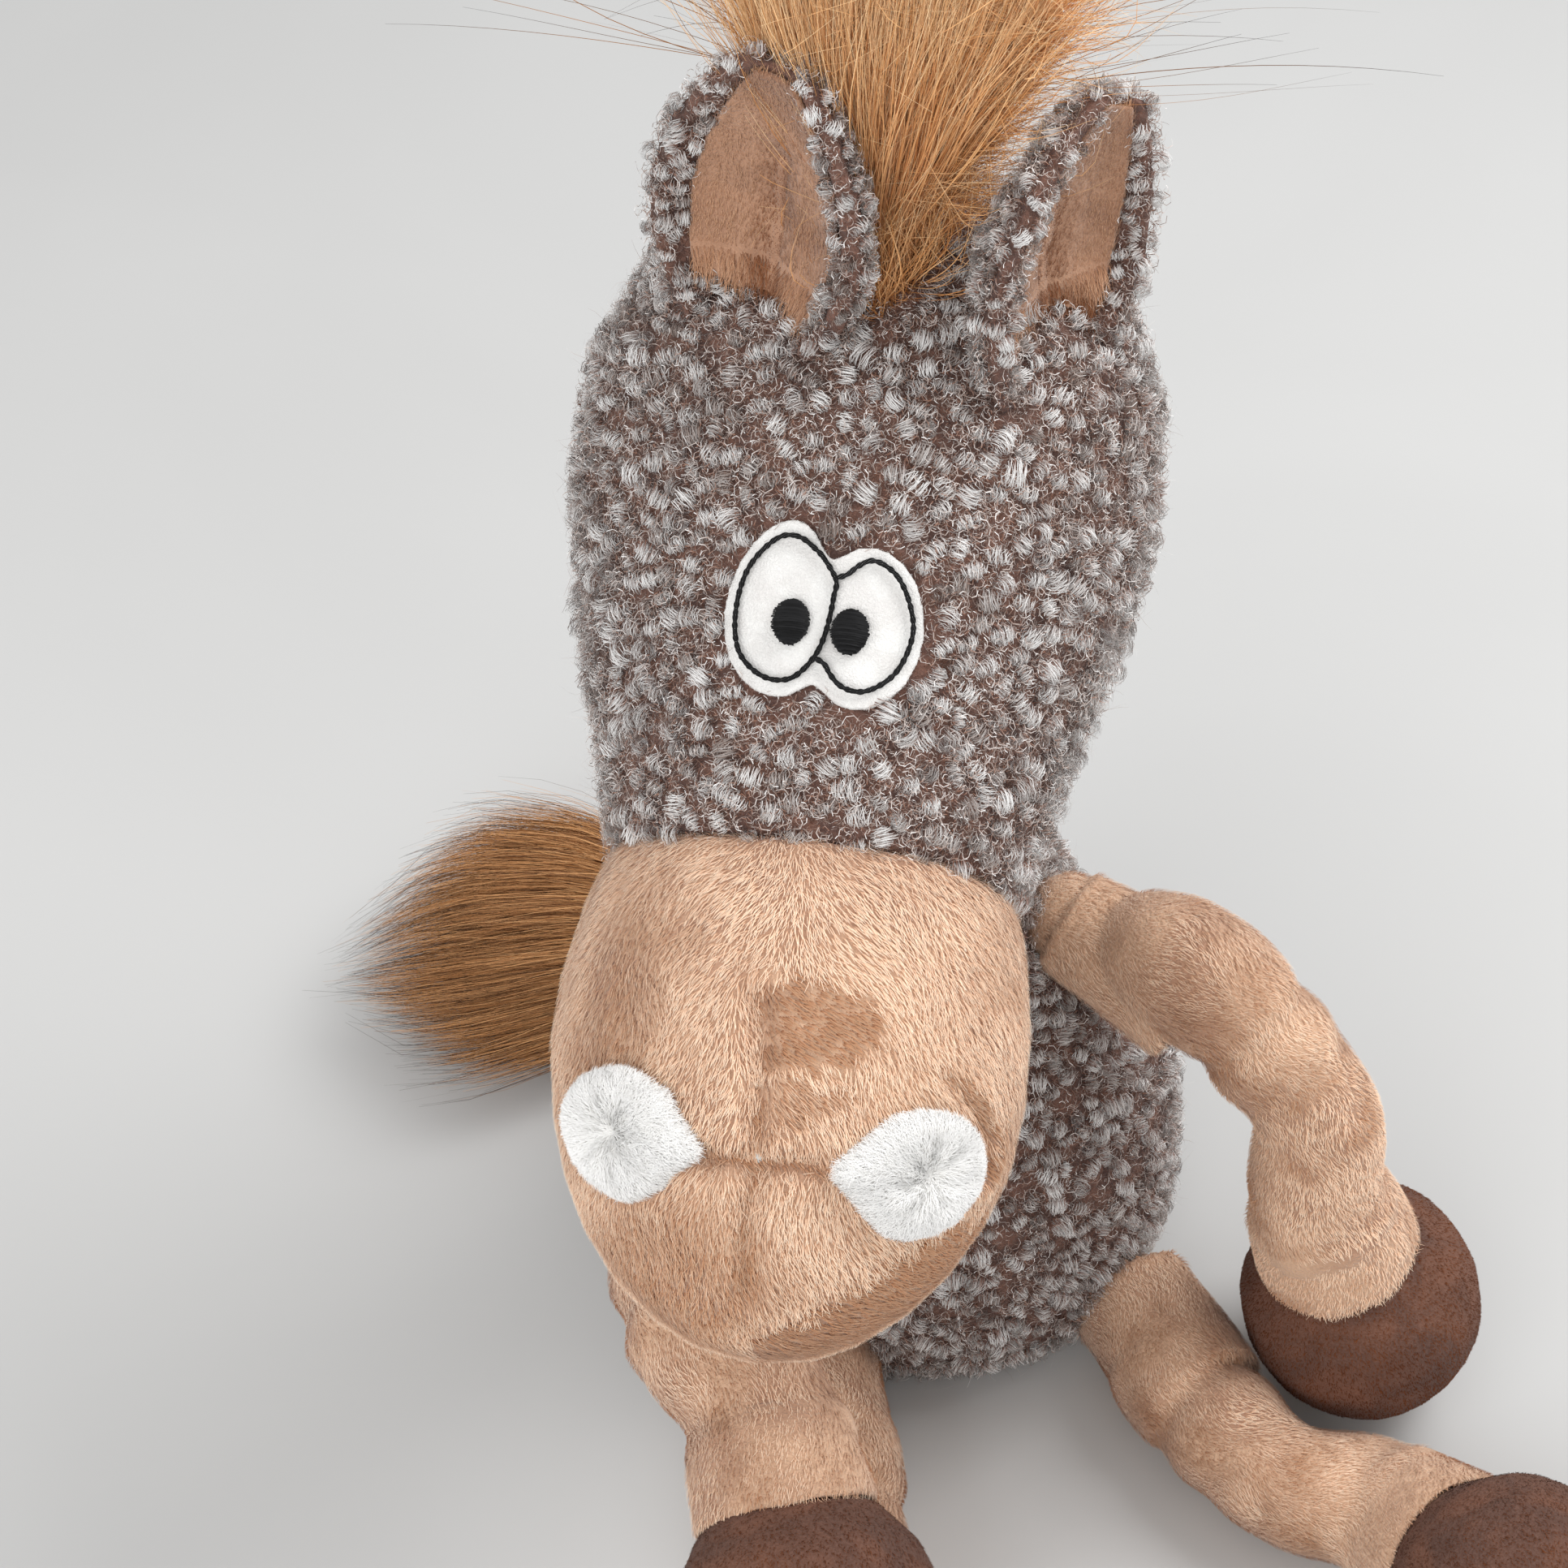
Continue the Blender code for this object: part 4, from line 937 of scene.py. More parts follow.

# %% [markdown]
# The muzzle is a firm ball of short tan plush. A seam runs down its middle and another one joins the
# nostrils. The pile is laid down and outwards from the seams. Where it is brushed the other way, its
# fibres lie the other way and are painted darker, as painted shade. Soft drifts of painted shade and
# painted highlight lie over the rest, and the seams get painted shade too.

# %% Muzzle skin and seams
CENTRE_SEAM_PIXELS = ((932, 1225), (934, 1300), (930, 1415), (925, 1500), (922, 1600), (925, 1695))
MOUTH_SEAM_PIXELS = ((838, 1412), (880, 1424), (930, 1430), (975, 1432), (1018, 1436))
FOLD_PIXELS = ((1167, 1325), (1203, 1367), (1218, 1406), (1213, 1450))

muzzle = skin("muzzle_plush", ["muzzle_cover", "muzzle_stuffing"], 1.3 * MM, 6, tan_skin)
lumps(muzzle, 30 * MM, 1.0 * MM, 5.0)
muzzle_tree = BVHTree.FromPolygons(
    [Vector(point) for point in read_points(muzzle)], [list(face.vertices) for face in muzzle.data.polygons]
)
centre_seam = on_skin(muzzle_tree, CENTRE_SEAM_PIXELS)
mouth_seam = on_skin(muzzle_tree, MOUTH_SEAM_PIXELS)
press(muzzle, centre_seam, 2.0 * MM, 2.2 * MM)
press(muzzle, mouth_seam, 2.0 * MM, 2.2 * MM)
press(muzzle, on_skin(muzzle_tree, FOLD_PIXELS), 1.6 * MM, 1.4 * MM)
put(muzzle, "head", ["muzzle_cover"])

# %% Muzzle pile
# Patches of painted shade, where the pile is brushed the other way: outline in pixels, then how much
# darker. A patch has a ragged edge
BRUSHED_SHADE_PATCHES = (
    (
        ((930, 1222), (968, 1199), (1018, 1209), (1052, 1226))
        + ((1102, 1256), (1072, 1285), (1037, 1318), (937, 1308)),
        0.92,
    ),
    (((930, 1325), (1040, 1325), (1070, 1345), (1010, 1372), (940, 1395)), 0.50),
    (((860, 1420), (1012, 1430), (1020, 1448), (930, 1446)), 0.45),
    (((1160, 1322), (1206, 1345), (1232, 1410), (1222, 1470), (1206, 1440), (1196, 1380)), 0.55),
    (
        ((1110, 1545), (1178, 1509), (1250, 1470), (1225, 1590), (1150, 1670))
        + ((1060, 1715), (950, 1730), (922, 1700), (928, 1648), (1000, 1618)),
        1.0,
    ),
)
# Soft drifts of painted shade and painted highlight: middle, half width, half height and turn in pixels,
# then how much darker or lighter
PAINTED_SHADE_DRIFTS = (
    ((822, 1132), (60, 60), -20, 0.38),
    ((1240, 1180), (60, 80), 30, 0.35),
    ((770, 1250), (46, 150), 10, 0.50),
    ((1120, 1085), (110, 22), 12, 0.30),
    ((820, 1600), (120, 120), 30, 0.50),
    ((1250, 1420), (26, 100), 0, 0.30),
)
PAINTED_HIGHLIGHT_DRIFTS = (
    ((1085, 1150), (150, 90), 10, 0.75),
    ((900, 1110), (110, 40), 0, 0.45),
    ((1235, 1310), (34, 90), 8, 0.40),
    ((1010, 1530), (90, 26), 40, 0.35),
    ((850, 1290), (70, 60), 40, 0.25),
)


def drifts(spots, ways, table):
    """How far each place lies in soft drifts of painted light and shade, from 0 outside to the drift's own
    amount.
    """
    u, v = pixels_of(spots)
    amount = np.zeros(len(spots))
    for (middle_u, middle_v), (wide, high), turn, strength in table:
        angle = math.radians(turn)
        across = ((u - middle_u) * math.cos(angle) + (v - middle_v) * math.sin(angle)) / wide
        down = ((v - middle_v) * math.cos(angle) - (u - middle_u) * math.sin(angle)) / high
        reach = np.clip(1.5 - np.hypot(across, down), 0, 1)
        amount = np.maximum(amount, strength * reach * reach * (3 - 2 * reach))
    return amount * (facing(spots, ways) > 0.1)


def shade_patches(spots, ways, table):
    """The amount of painted shade from the patch that each place lies in. Its pixel is shaken, so that the
    edge is ragged.
    """
    u, v = pixels_of(spots)
    u = u + 22 * cloudy(spots, 4 * MM, 8.0) + rng.normal(0, 3.5, len(spots))
    v = v + 22 * cloudy(spots, 4 * MM, 5.0) + rng.normal(0, 3.5, len(spots))
    amount = np.zeros(len(spots))
    for outline, strength in table:
        inside = np.zeros(len(spots), dtype=bool)
        for (first_u, first_v), (second_u, second_v) in zip(outline, outline[1:] + outline[:1]):
            if first_v != second_v:
                crossing = first_u + (v - first_v) * (second_u - first_u) / (second_v - first_v)
                inside ^= ((first_v > v) != (second_v > v)) & (u < crossing)
        amount = np.where(inside, np.maximum(amount, strength), amount)
    return amount * (facing(spots, ways) > 0.1)


def muzzle_lay(spots):
    """Down to the tip, outwards from the middle seam, with a few swirls."""
    side = spots @ np.array(HEAD_SIDE)
    middle = np.mean([point.dot(HEAD_SIDE) for point in centre_seam])
    away = np.clip((side - middle) / (12 * MM), -1, 1)[:, None]
    swirl = cloudy(spots, 14 * MM, 2.0)[:, None]
    out = np.array(HEAD_SIDE) * (away * 0.55 + swirl * 0.9)
    return np.array(HEAD_AIM) - np.array(HEAD_TOP) * 0.4 + out


nostril_reach = tree_of(["nostril_left", "nostril_right"])
seams = (seam_tree(centre_seam), seam_tree(mouth_seam))


def seam_gap(spots):
    """The distance of each place from the nearest seam."""
    return np.array([min(tree.find(Vector(spot))[2] for tree in seams) for spot in spots])


def on_muzzle(spots, ways):
    """Places clear of the nostrils and seams."""
    return (reach_of(nostril_reach, spots) > 0.8 * MM) & (seam_gap(spots) > 0.35 * MM)


PILE_BATCH = 44000
for batch in range(2):
    spots, ways = sample(muzzle, PILE_BATCH, on_muzzle)
    # Painted shade from the brushed patches and from the dark drifts
    dark = np.maximum(shade_patches(spots, ways, BRUSHED_SHADE_PATCHES), drifts(spots, ways, PAINTED_SHADE_DRIFTS))
    # Painted highlight from the light drifts
    light = drifts(spots, ways, PAINTED_HIGHLIGHT_DRIFTS)
    tones = 0.74 + 0.50 * light - 0.95 * dark + 0.24 * cloudy(spots, 9 * MM, 4.0)
    # Painted shade along the seams, where the pile dips into the groove
    tones = tones - 0.60 * np.exp(-((seam_gap(spots) / (1.3 * MM)) ** 2))
    tones = np.clip(tones + rng.normal(0, 0.15, len(spots)), 0, 1)
    lay = muzzle_lay(spots)
    lay = lay + np.array(HEAD_SIDE) * (dark * 1.6)[:, None]
    label = "muzzle_pile_" + str(batch + 1)
    fibres = pile(label, spots, ways, lay, 2.4 * MM, PILE_LEAN, 0.085 * MM, tones, tan_hair)
    put(fibres, "head")
print("Muzzle pile:", 2 * PILE_BATCH, "fibres tried")

# %% [markdown]
# The nostrils are pads of white plush, pulled in at the middle by a stitch and drawn to a point towards
# the seam between them. Creases run out from the stitch.

# %% Nostrils
NOSTRIL_TIPS = {"nostril_right": (848, 1414), "nostril_left": (1008, 1438)}
for name, tip_pixel in NOSTRIL_TIPS.items():
    pad = skin(name + "_pad", [name], 0.7 * MM, 3, white_plush)
    points = read_points(pad)
    normals = read_normals(pad)
    middle = points.mean(axis=0)
    tip = np.array(on_skin(muzzle_tree, [tip_pixel])[0])
    out = np.array(muzzle_tree.find_nearest(Vector(middle))[1])
    aim = unit((tip - middle) - out * ((tip - middle) @ out))
    across = np.cross(out, aim)
    flat = points - middle
    ahead = flat @ aim
    side = flat @ across
    radius = np.hypot(ahead, side)
    angle = np.arctan2(side, ahead)
    rim = np.clip(radius / (11 * MM), 0, 1.2)
    stretch_out = 3.2 * MM * np.exp(-((angle / 0.30) ** 2)) * rim**2
    crease = np.cos(angle * 7 + 1.3) * np.exp(-(((radius - 4 * MM) / (3.5 * MM)) ** 2)) * 0.45 * MM
    wobble = np.array([noise.noise(Vector(point) / (4 * MM)) for point in points]) * 0.4 * MM
    points = points + aim * stretch_out[:, None] + normals * (crease + wobble + 0.5 * MM)[:, None]
    write_points(pad, points)
    put(pad, "head", [name])
    spots, ways = sample(pad, 22000, lambda spots, ways: (ways @ out) > -0.3)
    lay = unit(spots - middle) + rng.normal(0, 0.3, (len(spots), 3))
    tones = np.clip(rng.normal(0.6, 0.2, len(spots)), 0, 1)
    fibres = pile(name + "_pile", spots, ways, lay, 2.0 * MM, PILE_LEAN, 0.07 * MM, tones, white_hair)
    put(fibres, "head")

# %% [markdown]
# The eyes are one piece of white felt, cut with two lobes. Thick black thread is stitched round each
# lobe: plies that twist round one line. The line is found from the thread's solid, whose points lie in
# rings along it.


# %% Eyes
def thread_line(name):
    """The middle line of a thread's solid: the middles of its rings, put in order."""
    points = read_points(nodes[name])
    left = list(range(len(points)))
    middles = []
    while left:
        ring = [left.pop()]
        for index in ring:
            near = [other for other in left if np.linalg.norm(points[other] - points[index]) < 0.75 * MM]
            ring += near
            left = [other for other in left if other not in near]
        middles.append(points[ring].mean(axis=0))
    best = None
    for start in range(len(middles)):
        order = [start]
        length = 0.0
        rest = set(range(len(middles))) - {start}
        while rest:
            nearest = min(rest, key=lambda other: np.linalg.norm(middles[other] - middles[order[-1]]))
            length += np.linalg.norm(middles[nearest] - middles[order[-1]])
            order.append(nearest)
            rest.remove(nearest)
        if best is None or length < best[0]:
            best = (length, order)
    return [middles[index] for index in best[1]]


def even_line(route, spacing, closed=False):
    """A smooth line through a route, with points an even spacing apart."""
    route = [np.asarray(spot) for spot in route]
    count = len(route)
    dense = []
    for index in range(count if closed else count - 1):
        near = range(index - 1, index + 3)
        ends = [route[step % count if closed else min(max(step, 0), count - 1)] for step in near]
        for part in np.linspace(0, 1, 16, endpoint=False):
            dense.append(
                (
                    2 * ends[1]
                    + (ends[2] - ends[0]) * part
                    + (2 * ends[0] - 5 * ends[1] + 4 * ends[2] - ends[3]) * part**2
                    + (3 * ends[1] - ends[0] - 3 * ends[2] + ends[3]) * part**3
                )
                / 2
            )
    dense.append(route[0] if closed else route[-1])
    dense = np.array(dense)
    gone = np.concatenate([[0], np.cumsum(np.linalg.norm(np.diff(dense, axis=0), axis=1))])
    places = np.linspace(0, gone[-1], max(int(gone[-1] / spacing), 2))
    return np.stack([np.interp(places, gone, dense[:, axis]) for axis in range(3)], axis=1)


def thick_thread(name, line, out, radius, plies, twist, stitch, material):
    """Plies that twist round a line. Each stitch is fuller in its middle than at its ends."""
    ahead = unit(np.gradient(line, axis=0))
    side = unit(np.cross(ahead, out))
    up = np.cross(side, ahead)
    gone = np.arange(len(line)) * np.linalg.norm(line[1] - line[0])
    swell = 0.72 + 0.28 * np.abs(np.sin(math.pi * gone / stitch))
    mesh = bpy.data.meshes.new(name)
    points = []
    faces = []
    tones = []
    for ply in range(plies):
        turn = 2 * math.pi * (ply / plies + gone / twist)
        away = side * np.cos(turn)[:, None] + up * np.sin(turn)[:, None]
        centre = line + away * (radius * 0.62 * swell)[:, None]
        start = len(points)
        own = rng.uniform(0, 1) ** 2
        for step in range(len(line)):
            for corner in range(5):
                angle = 2 * math.pi * corner / 5
                arm = radius * 0.42 * swell[step]
                rim = side[step] * math.cos(angle) + up[step] * math.sin(angle)
                points.append(centre[step] + rim * arm)
                tones.append(own)
        for step in range(len(line) - 1):
            for corner in range(5):
                first = start + step * 5 + corner
                second = start + step * 5 + (corner + 1) % 5
                faces.append((first, second, second + 5, first + 5))
        faces.append(tuple(start + corner for corner in reversed(range(5))))
        faces.append(tuple(start + (len(line) - 1) * 5 + corner for corner in range(5)))
    mesh.from_pydata(points, [], faces)
    mesh.shade_smooth()
    layer = mesh.attributes.new("tone", "FLOAT", "POINT")
    layer.data.foreach_set("value", np.array(tones, dtype=np.float32))
    return piece(name, mesh, material)


patch = skin("eye_felt", ["eye_patch"], 0.5 * MM, 2, white_felt)
put(patch, "head", ["eye_patch"])
spots, ways = sample(patch, 5000)
tones = rng.uniform(0.4, 1, len(spots))
felt_lay = rng.normal(0, 1, (len(spots), 3))
felt_hair = pile("eye_felt_fibres", spots, ways, felt_lay, 0.6 * MM, 1.3, 0.03 * MM, tones, white_hair)
put(felt_hair, "head")

THREAD_RADIUS = 0.56 * MM
STITCH = 2.0 * MM
eye_out = np.array(HEAD_TOP)
closed_line = even_line(thread_line("eye_stitching_right"), 0.25 * MM, closed=True)
open_route = thread_line("eye_stitching_left")
tips = (open_route[0], open_route[-1])
ends = [closed_line[np.argmin(np.linalg.norm(closed_line - tip, axis=1))] for tip in tips]
open_line = even_line([ends[0], *open_route, ends[1]], 0.25 * MM)
for name, line in (("eye_stitching_right", closed_line), ("eye_stitching_left", open_line)):
    sewn = thick_thread(name + "_thread", line, eye_out, THREAD_RADIUS, 4, 5.0 * MM, STITCH, black_thread)
    put(sewn, "head", [name])
    print(name, round(len(line) * 0.25, 1), "mm of thread")

# %% Pupils
ROWS = 22
for name in ("pupil_left", "pupil_right"):
    dome = skin(name + "_ground", [name], 0.35 * MM, 2, black_base)
    put(dome, "head", [name])
    points = read_points(nodes[name])
    middle = points.mean(axis=0)
    across = np.array(HEAD_SIDE)
    down = np.array(HEAD_AIM)
    half_across = np.abs((points - middle) @ across).max()
    half_down = np.abs((points - middle) @ down).max()
    dome_tree = tree_of([name])
    lines = []
    for row in range(ROWS):
        along_share = -1 + 2 * (row + 0.5) / ROWS
        reach = half_across * math.sqrt(max(1 - along_share**2, 0)) + rng.normal(0, 0.08 * MM)
        line = []
        for share in np.linspace(-1, 1, 9):
            spot = middle + across * (reach * share * 0.98) + down * (half_down * along_share * 0.97)
            hit = dome_tree.ray_cast(Vector(spot + eye_out * 6 * MM), Vector(-eye_out))[0]
            line.append(np.array(hit) + eye_out * 0.10 * MM if hit is not None else spot)
        lines.append(line)
    lines = np.array(lines) + rng.normal(0, 0.03 * MM, (ROWS, 9, 3))
    for row, line in enumerate(lines):
        if row % 2:
            lines[row] = line[::-1]
    widths = np.broadcast_to(down * (half_down / ROWS * 0.9), lines.shape)
    tones = rng.uniform(0, 1, ROWS)
    rows_made = ribbons(name + "_stitches", lines, widths, tones, black_thread)
    put(rows_made, "head")

# %% [markdown]
# Each arm and leg is one soft sleeve of tan plush with filling, so its two solids become one skin that
# bends across the elbow or knee. A turned cuff closes it over the hoof, a ball of brown suede-like cloth.

# %% Limbs
LIMBS = {
    "arm": ("upper_arm", "forearm", "hand_hoof", "shoulder", "elbow"),
    "leg": ("thigh", "shin", "foot_hoof", "hip", "knee"),
}
LIMB_RADIUS = 15.5 * MM
ARM_ROOT = 12.0 * MM
LEG_ROOT = 15.0 * MM
ROOT_REACH = 32 * MM
CUFF_SIDES = 48
# Place along the wrist's line, counted from the wrist, and radius of the turned cuff
CUFF_PROFILE = (
    (-19.0 * MM, 13.6 * MM),
    (-18.0 * MM, 15.3 * MM),
    (-15.0 * MM, 16.4 * MM),
    (-11.0 * MM, 17.4 * MM),
    (-5.0 * MM, 18.2 * MM),
    (-0.5 * MM, 18.8 * MM),
    (1.8 * MM, 18.9 * MM),
    (3.0 * MM, 18.2 * MM),
    (2.6 * MM, 17.2 * MM),
    (-2.0 * MM, 15.5 * MM),
    (-10.0 * MM, 14.0 * MM),
)


def ball_middle(name, wrist):
    """The middle of a hoof: the ball that fits its points away from the wrist."""
    points = read_points(nodes[name])
    points = points[np.linalg.norm(points - np.array(wrist), axis=1) > 20 * MM]
    rows = np.hstack([2 * points, np.ones((len(points), 1))])
    return np.linalg.lstsq(rows, (points**2).sum(axis=1), rcond=None)[0][:3]


def turned_ring(name, middle, aim, profile, sides, material):
    """A ring turned round a line, with a closed profile."""
    first = unit(np.cross(aim, (0.3, 0.4, 0.86)))
    second = np.cross(aim, first)
    points = []
    faces = []
    count = len(profile)
    for along_line, radius in profile:
        for side in range(sides):
            angle = 2 * math.pi * side / sides
            ray = first * math.cos(angle) + second * math.sin(angle)
            points.append(middle + aim * along_line + ray * radius)
    for row in range(count):
        here = row * sides
        after = (row + 1) % count * sides
        for side in range(sides):
            following = (side + 1) % sides
            faces.append((here + side, here + following, after + following, after + side))
    mesh = bpy.data.meshes.new(name)
    mesh.from_pydata(points, [], faces)
    shape = bmesh.new()
    shape.from_mesh(mesh)
    bmesh.ops.recalc_face_normals(shape, faces=shape.faces)
    shape.to_mesh(mesh)
    shape.free()
    made = piece(name, mesh, material)
    finer = made.modifiers.new("finer", "SUBSURF")
    finer.levels = 1
    finer.render_levels = 1
    settle(made)
    made.data.shade_smooth()
    return made


def plush_tones(spots, seed):
    """Tones of the limbs' pile, in soft clouds."""
    clouds = 0.70 + 0.85 * cloudy(spots, 15 * MM, seed) + 0.50 * cloudy(spots, 6 * MM, seed + 3)
    return np.clip(clouds + rng.normal(0, 0.13, len(spots)), 0, 1)


def widen_root(sleeve, root, aim, reach, thin, full):
    """Fills the narrow place where a sleeve leaves the body, so that it swells evenly."""
    points = read_points(sleeve)
    line = np.array(aim)
    ahead = (points - np.array(root)) @ line
    radial = points - np.array(root) - ahead[:, None] * line
    radius = np.maximum(np.linalg.norm(radial, axis=1), 1 * MM)
    share = np.clip(ahead / reach, 0, 1)
    goal = thin + (full - thin) * share * share * (3 - 2 * share)
    grow = np.where((ahead > 0) & (ahead < reach), np.maximum(goal / radius, 1), 1)
    write_points(sleeve, points + radial * (grow - 1)[:, None])


seed = 7.0
torso_reach = tree_of(["torso_cover"])
for kind, side in (("arm", "left"), ("arm", "right"), ("leg", "left"), ("leg", "right")):
    key = kind + "_" + side
    upper, lower, hoof, root_joint, middle_joint = (name + "_" + side for name in LIMBS[kind])
    root, middle, wrist = (joints[name] for name in (root_joint, middle_joint, hoof))
    first_aim = (middle - root).normalized()
    second_aim = (wrist - middle).normalized()
    bend_aim = (first_aim + second_aim).normalized()
    sleeve = skin(key + "_sleeve", [upper, lower], 1.3 * MM, 30, tan_skin)
    root_width = ARM_ROOT if kind == "arm" else LEG_ROOT
    widen_root(sleeve, root, first_aim, ROOT_REACH, root_width, LIMB_RADIUS)
    lumps(sleeve, 34 * MM, 0.8 * MM, seed)
    lumps(sleeve, 9 * MM, 0.35 * MM, seed + 2)
    points = read_points(sleeve)
    points[:, 2] = np.maximum(points[:, 2], 1.2 * MM)
    write_points(sleeve, points)
    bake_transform(sleeve)
    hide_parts(upper, lower)
    past_wrist = np.array(second_aim)

    def bare_sleeve(spots, ways):
        clear = (spots - np.array(wrist)) @ past_wrist < -14 * MM
        return clear & (reach_of(torso_reach, spots) > 0.5 * MM)

    spots, ways = sample(sleeve, 30000, bare_sleeve)
    share = np.clip(((spots - np.array(middle)) @ np.array(bend_aim)) / (20 * MM) * 0.5 + 0.5, 0, 1)[:, None]
    lay = np.array(first_aim) * (1 - share) + np.array(second_aim) * share
    lay = lay + np.cross(lay, ways) * (cloudy(spots, 12 * MM, seed) * 1.2)[:, None]
    tones = plush_tones(spots, seed)
    fibres = pile(key + "_pile", spots, ways, lay, 2.0 * MM, PILE_LEAN, 0.085 * MM, tones, tan_hair)
    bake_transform(fibres)

    centre = ball_middle(hoof, wrist)
    aim = unit(centre - np.array(wrist))
    cuff = turned_ring(key + "_cuff", np.array(wrist), aim, CUFF_PROFILE, CUFF_SIDES, tan_skin)
    lumps(cuff, 9 * MM, 0.8 * MM, seed + 4)
    spots, ways = sample(cuff, 9000, lambda spots, ways: ((spots - np.array(wrist)) @ aim) > -17 * MM)
    cuff_lay = np.broadcast_to(aim, spots.shape) + np.cross(aim, ways) * 0.3
    tones = plush_tones(spots, seed)
    hem = pile(key + "_cuff_pile", spots, ways, cuff_lay, 1.7 * MM, PILE_LEAN, 0.08 * MM, tones, tan_hair)
    for made in (cuff, hem):
        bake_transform(made)

    ball = skin(key + "_hoof", [hoof], 1.5 * MM, 4, hoof_suede)
    lumps(ball, 22 * MM, 1.1 * MM, seed + 1)
    points = read_points(ball)
    points[:, 2] = np.maximum(points[:, 2], 0.2 * MM)
    write_points(ball, points)
    put(ball, hoof, [hoof])
    spots, ways = sample(ball, 17000, lambda spots, ways: ((spots - centre) @ aim) < 20 * MM)
    ball_lay = np.broadcast_to(aim, spots.shape) + rng.normal(0, 0.25, spots.shape)
    tones = np.clip(0.5 + 0.8 * cloudy(spots, 13 * MM, seed) + rng.normal(0, 0.16, len(spots)), 0, 1)
    nap_hair = pile(key + "_hoof_nap", spots, ways, ball_lay, 0.9 * MM, 1.2, 0.07 * MM, tones, suede_hair)
    put(nap_hair, hoof)
    seed += 5.0

# %% [markdown]
# The mane is a tuft of long golden hair, sewn along the crown, which fans out and has a few long
# dark-tipped guard hairs. The tail is a brush of the same kind. The strands follow the shape of their
# solid: each one starts at its own place across it, and is drawn a little towards the nearest of a few
# dozen tufts on its way to the tip.


# %% Helper that makes strands along a solid
STRAND_WAVE = 4.0
TUFTS = 46
TUFT_DRAW = 0.42
tuft_rng = np.random.default_rng(5)
tuft_angle = tuft_rng.uniform(0, 2 * math.pi, TUFTS)
tuft_radius = np.sqrt(tuft_rng.random(TUFTS)) * 1.2
tuft_places = np.stack([np.cos(tuft_angle) * tuft_radius, np.sin(tuft_angle) * tuft_radius], axis=1)
tuft_reach = tuft_rng.uniform(0.92, 1.0, TUFTS)


def girths(name, aim, side, top, stations):
    """Middle and half sizes of a solid at places along its length, measured by rays."""
    tree = tree_of([name])
    points = read_points(nodes[name])
    along_line = points @ aim
    low, high = along_line.min(), along_line.max()
    middle = points.mean(axis=0)
    rows = []
    for share in stations:
        near = points[np.abs(along_line - (low + (high - low) * share)) < (high - low) * 0.14]
        spot = near.mean(axis=0)
        spot = spot + aim * (low + (high - low) * share - spot @ aim)
        reach = []
        for way in (side, -side, top, -top):
            hit = tree.ray_cast(Vector(spot + way * 0.3), Vector(-way))[0]
            reach.append(np.array(hit) @ way if hit is not None else spot @ way)
        centre = middle + aim * ((low + (high - low) * share) - middle @ aim)
        centre = centre + side * ((reach[0] - reach[1]) / 2 - centre @ side)
        centre = centre + top * ((reach[2] - reach[3]) / 2 - centre @ top)
        rows.append((share, centre, max((reach[0] + reach[1]) / 2, 0), max((reach[2] + reach[3]) / 2, 0)))
    return rows


def middles_at(part, rows):
    """The middles of a solid at shares of its length."""
    places = [row[0] for row in rows]
    return np.stack([np.interp(part, places, [row[1][axis] for row in rows]) for axis in range(3)], axis=-1)


def strands(name, rows, side, top, count, steps, spread, reach, half_width, material, mess):
    """Long hairs through the girths, drawn together in tufts. Spread widens them towards the tip."""
    places = np.array([row[0] for row in rows])
    angle = rng.uniform(0, 2 * math.pi, count)
    radius = np.sqrt(rng.random(count))
    spread_out = np.stack([np.cos(angle) * radius, np.sin(angle) * radius], axis=1)
    tuft = np.argmin(((spread_out[:, None] - tuft_places[None]) ** 2).sum(axis=2), axis=1)
    ends = rng.uniform(reach[0], reach[1], count) * (1 - 0.17 * radius**2) * tuft_reach[tuft]
    part = np.linspace(0, 1, steps)[None, :] * ends[:, None]
    centres = middles_at(part, rows)
    over = np.clip(part - places[-1], 0, None)[..., None]
    aim = unit(rows[-1][1] - rows[-3][1])
    length = np.linalg.norm(rows[-1][1] - rows[0][1])
    centres = centres + aim * over * length
    wide = np.interp(part, places, [row[2] for row in rows]) * (1 + (spread[0] - 1) * part**1.5)
    high = np.interp(part, places, [row[3] for row in rows]) * (1 + (spread[1] - 1) * part**1.5)
    bend = rng.normal(0, 1, (count, 1, 3)) * STRAND_WAVE * MM
    bend = bend * np.sin(part * rng.uniform(2, 7, (count, 1)))[..., None] * part[..., None]
    draw = TUFT_DRAW * part**1.5
    across = spread_out[:, :1] * (1 - draw) + tuft_places[tuft, :1] * draw
    across = across + np.clip(rng.normal(0, 1, (count, 1)), -1.4, 1.4) * mess * part
    up = spread_out[:, 1:] * (1 - draw) + tuft_places[tuft, 1:] * draw
    up = up + np.clip(rng.normal(0, 1, (count, 1)), -1.4, 1.4) * mess * part
    lines = centres + side * (across * wide)[..., None] + top * (up * high)[..., None] + bend
    ahead = unit(np.gradient(lines, axis=1))
    widths = unit(np.cross(ahead, rng.normal(0, 1, (count, 1, 3))))
    taper = (1 - 0.85 * np.linspace(0, 1, steps) ** 2)[None, :, None] * half_width
    return ribbons(name, lines, widths * taper, rng.random(count), material)


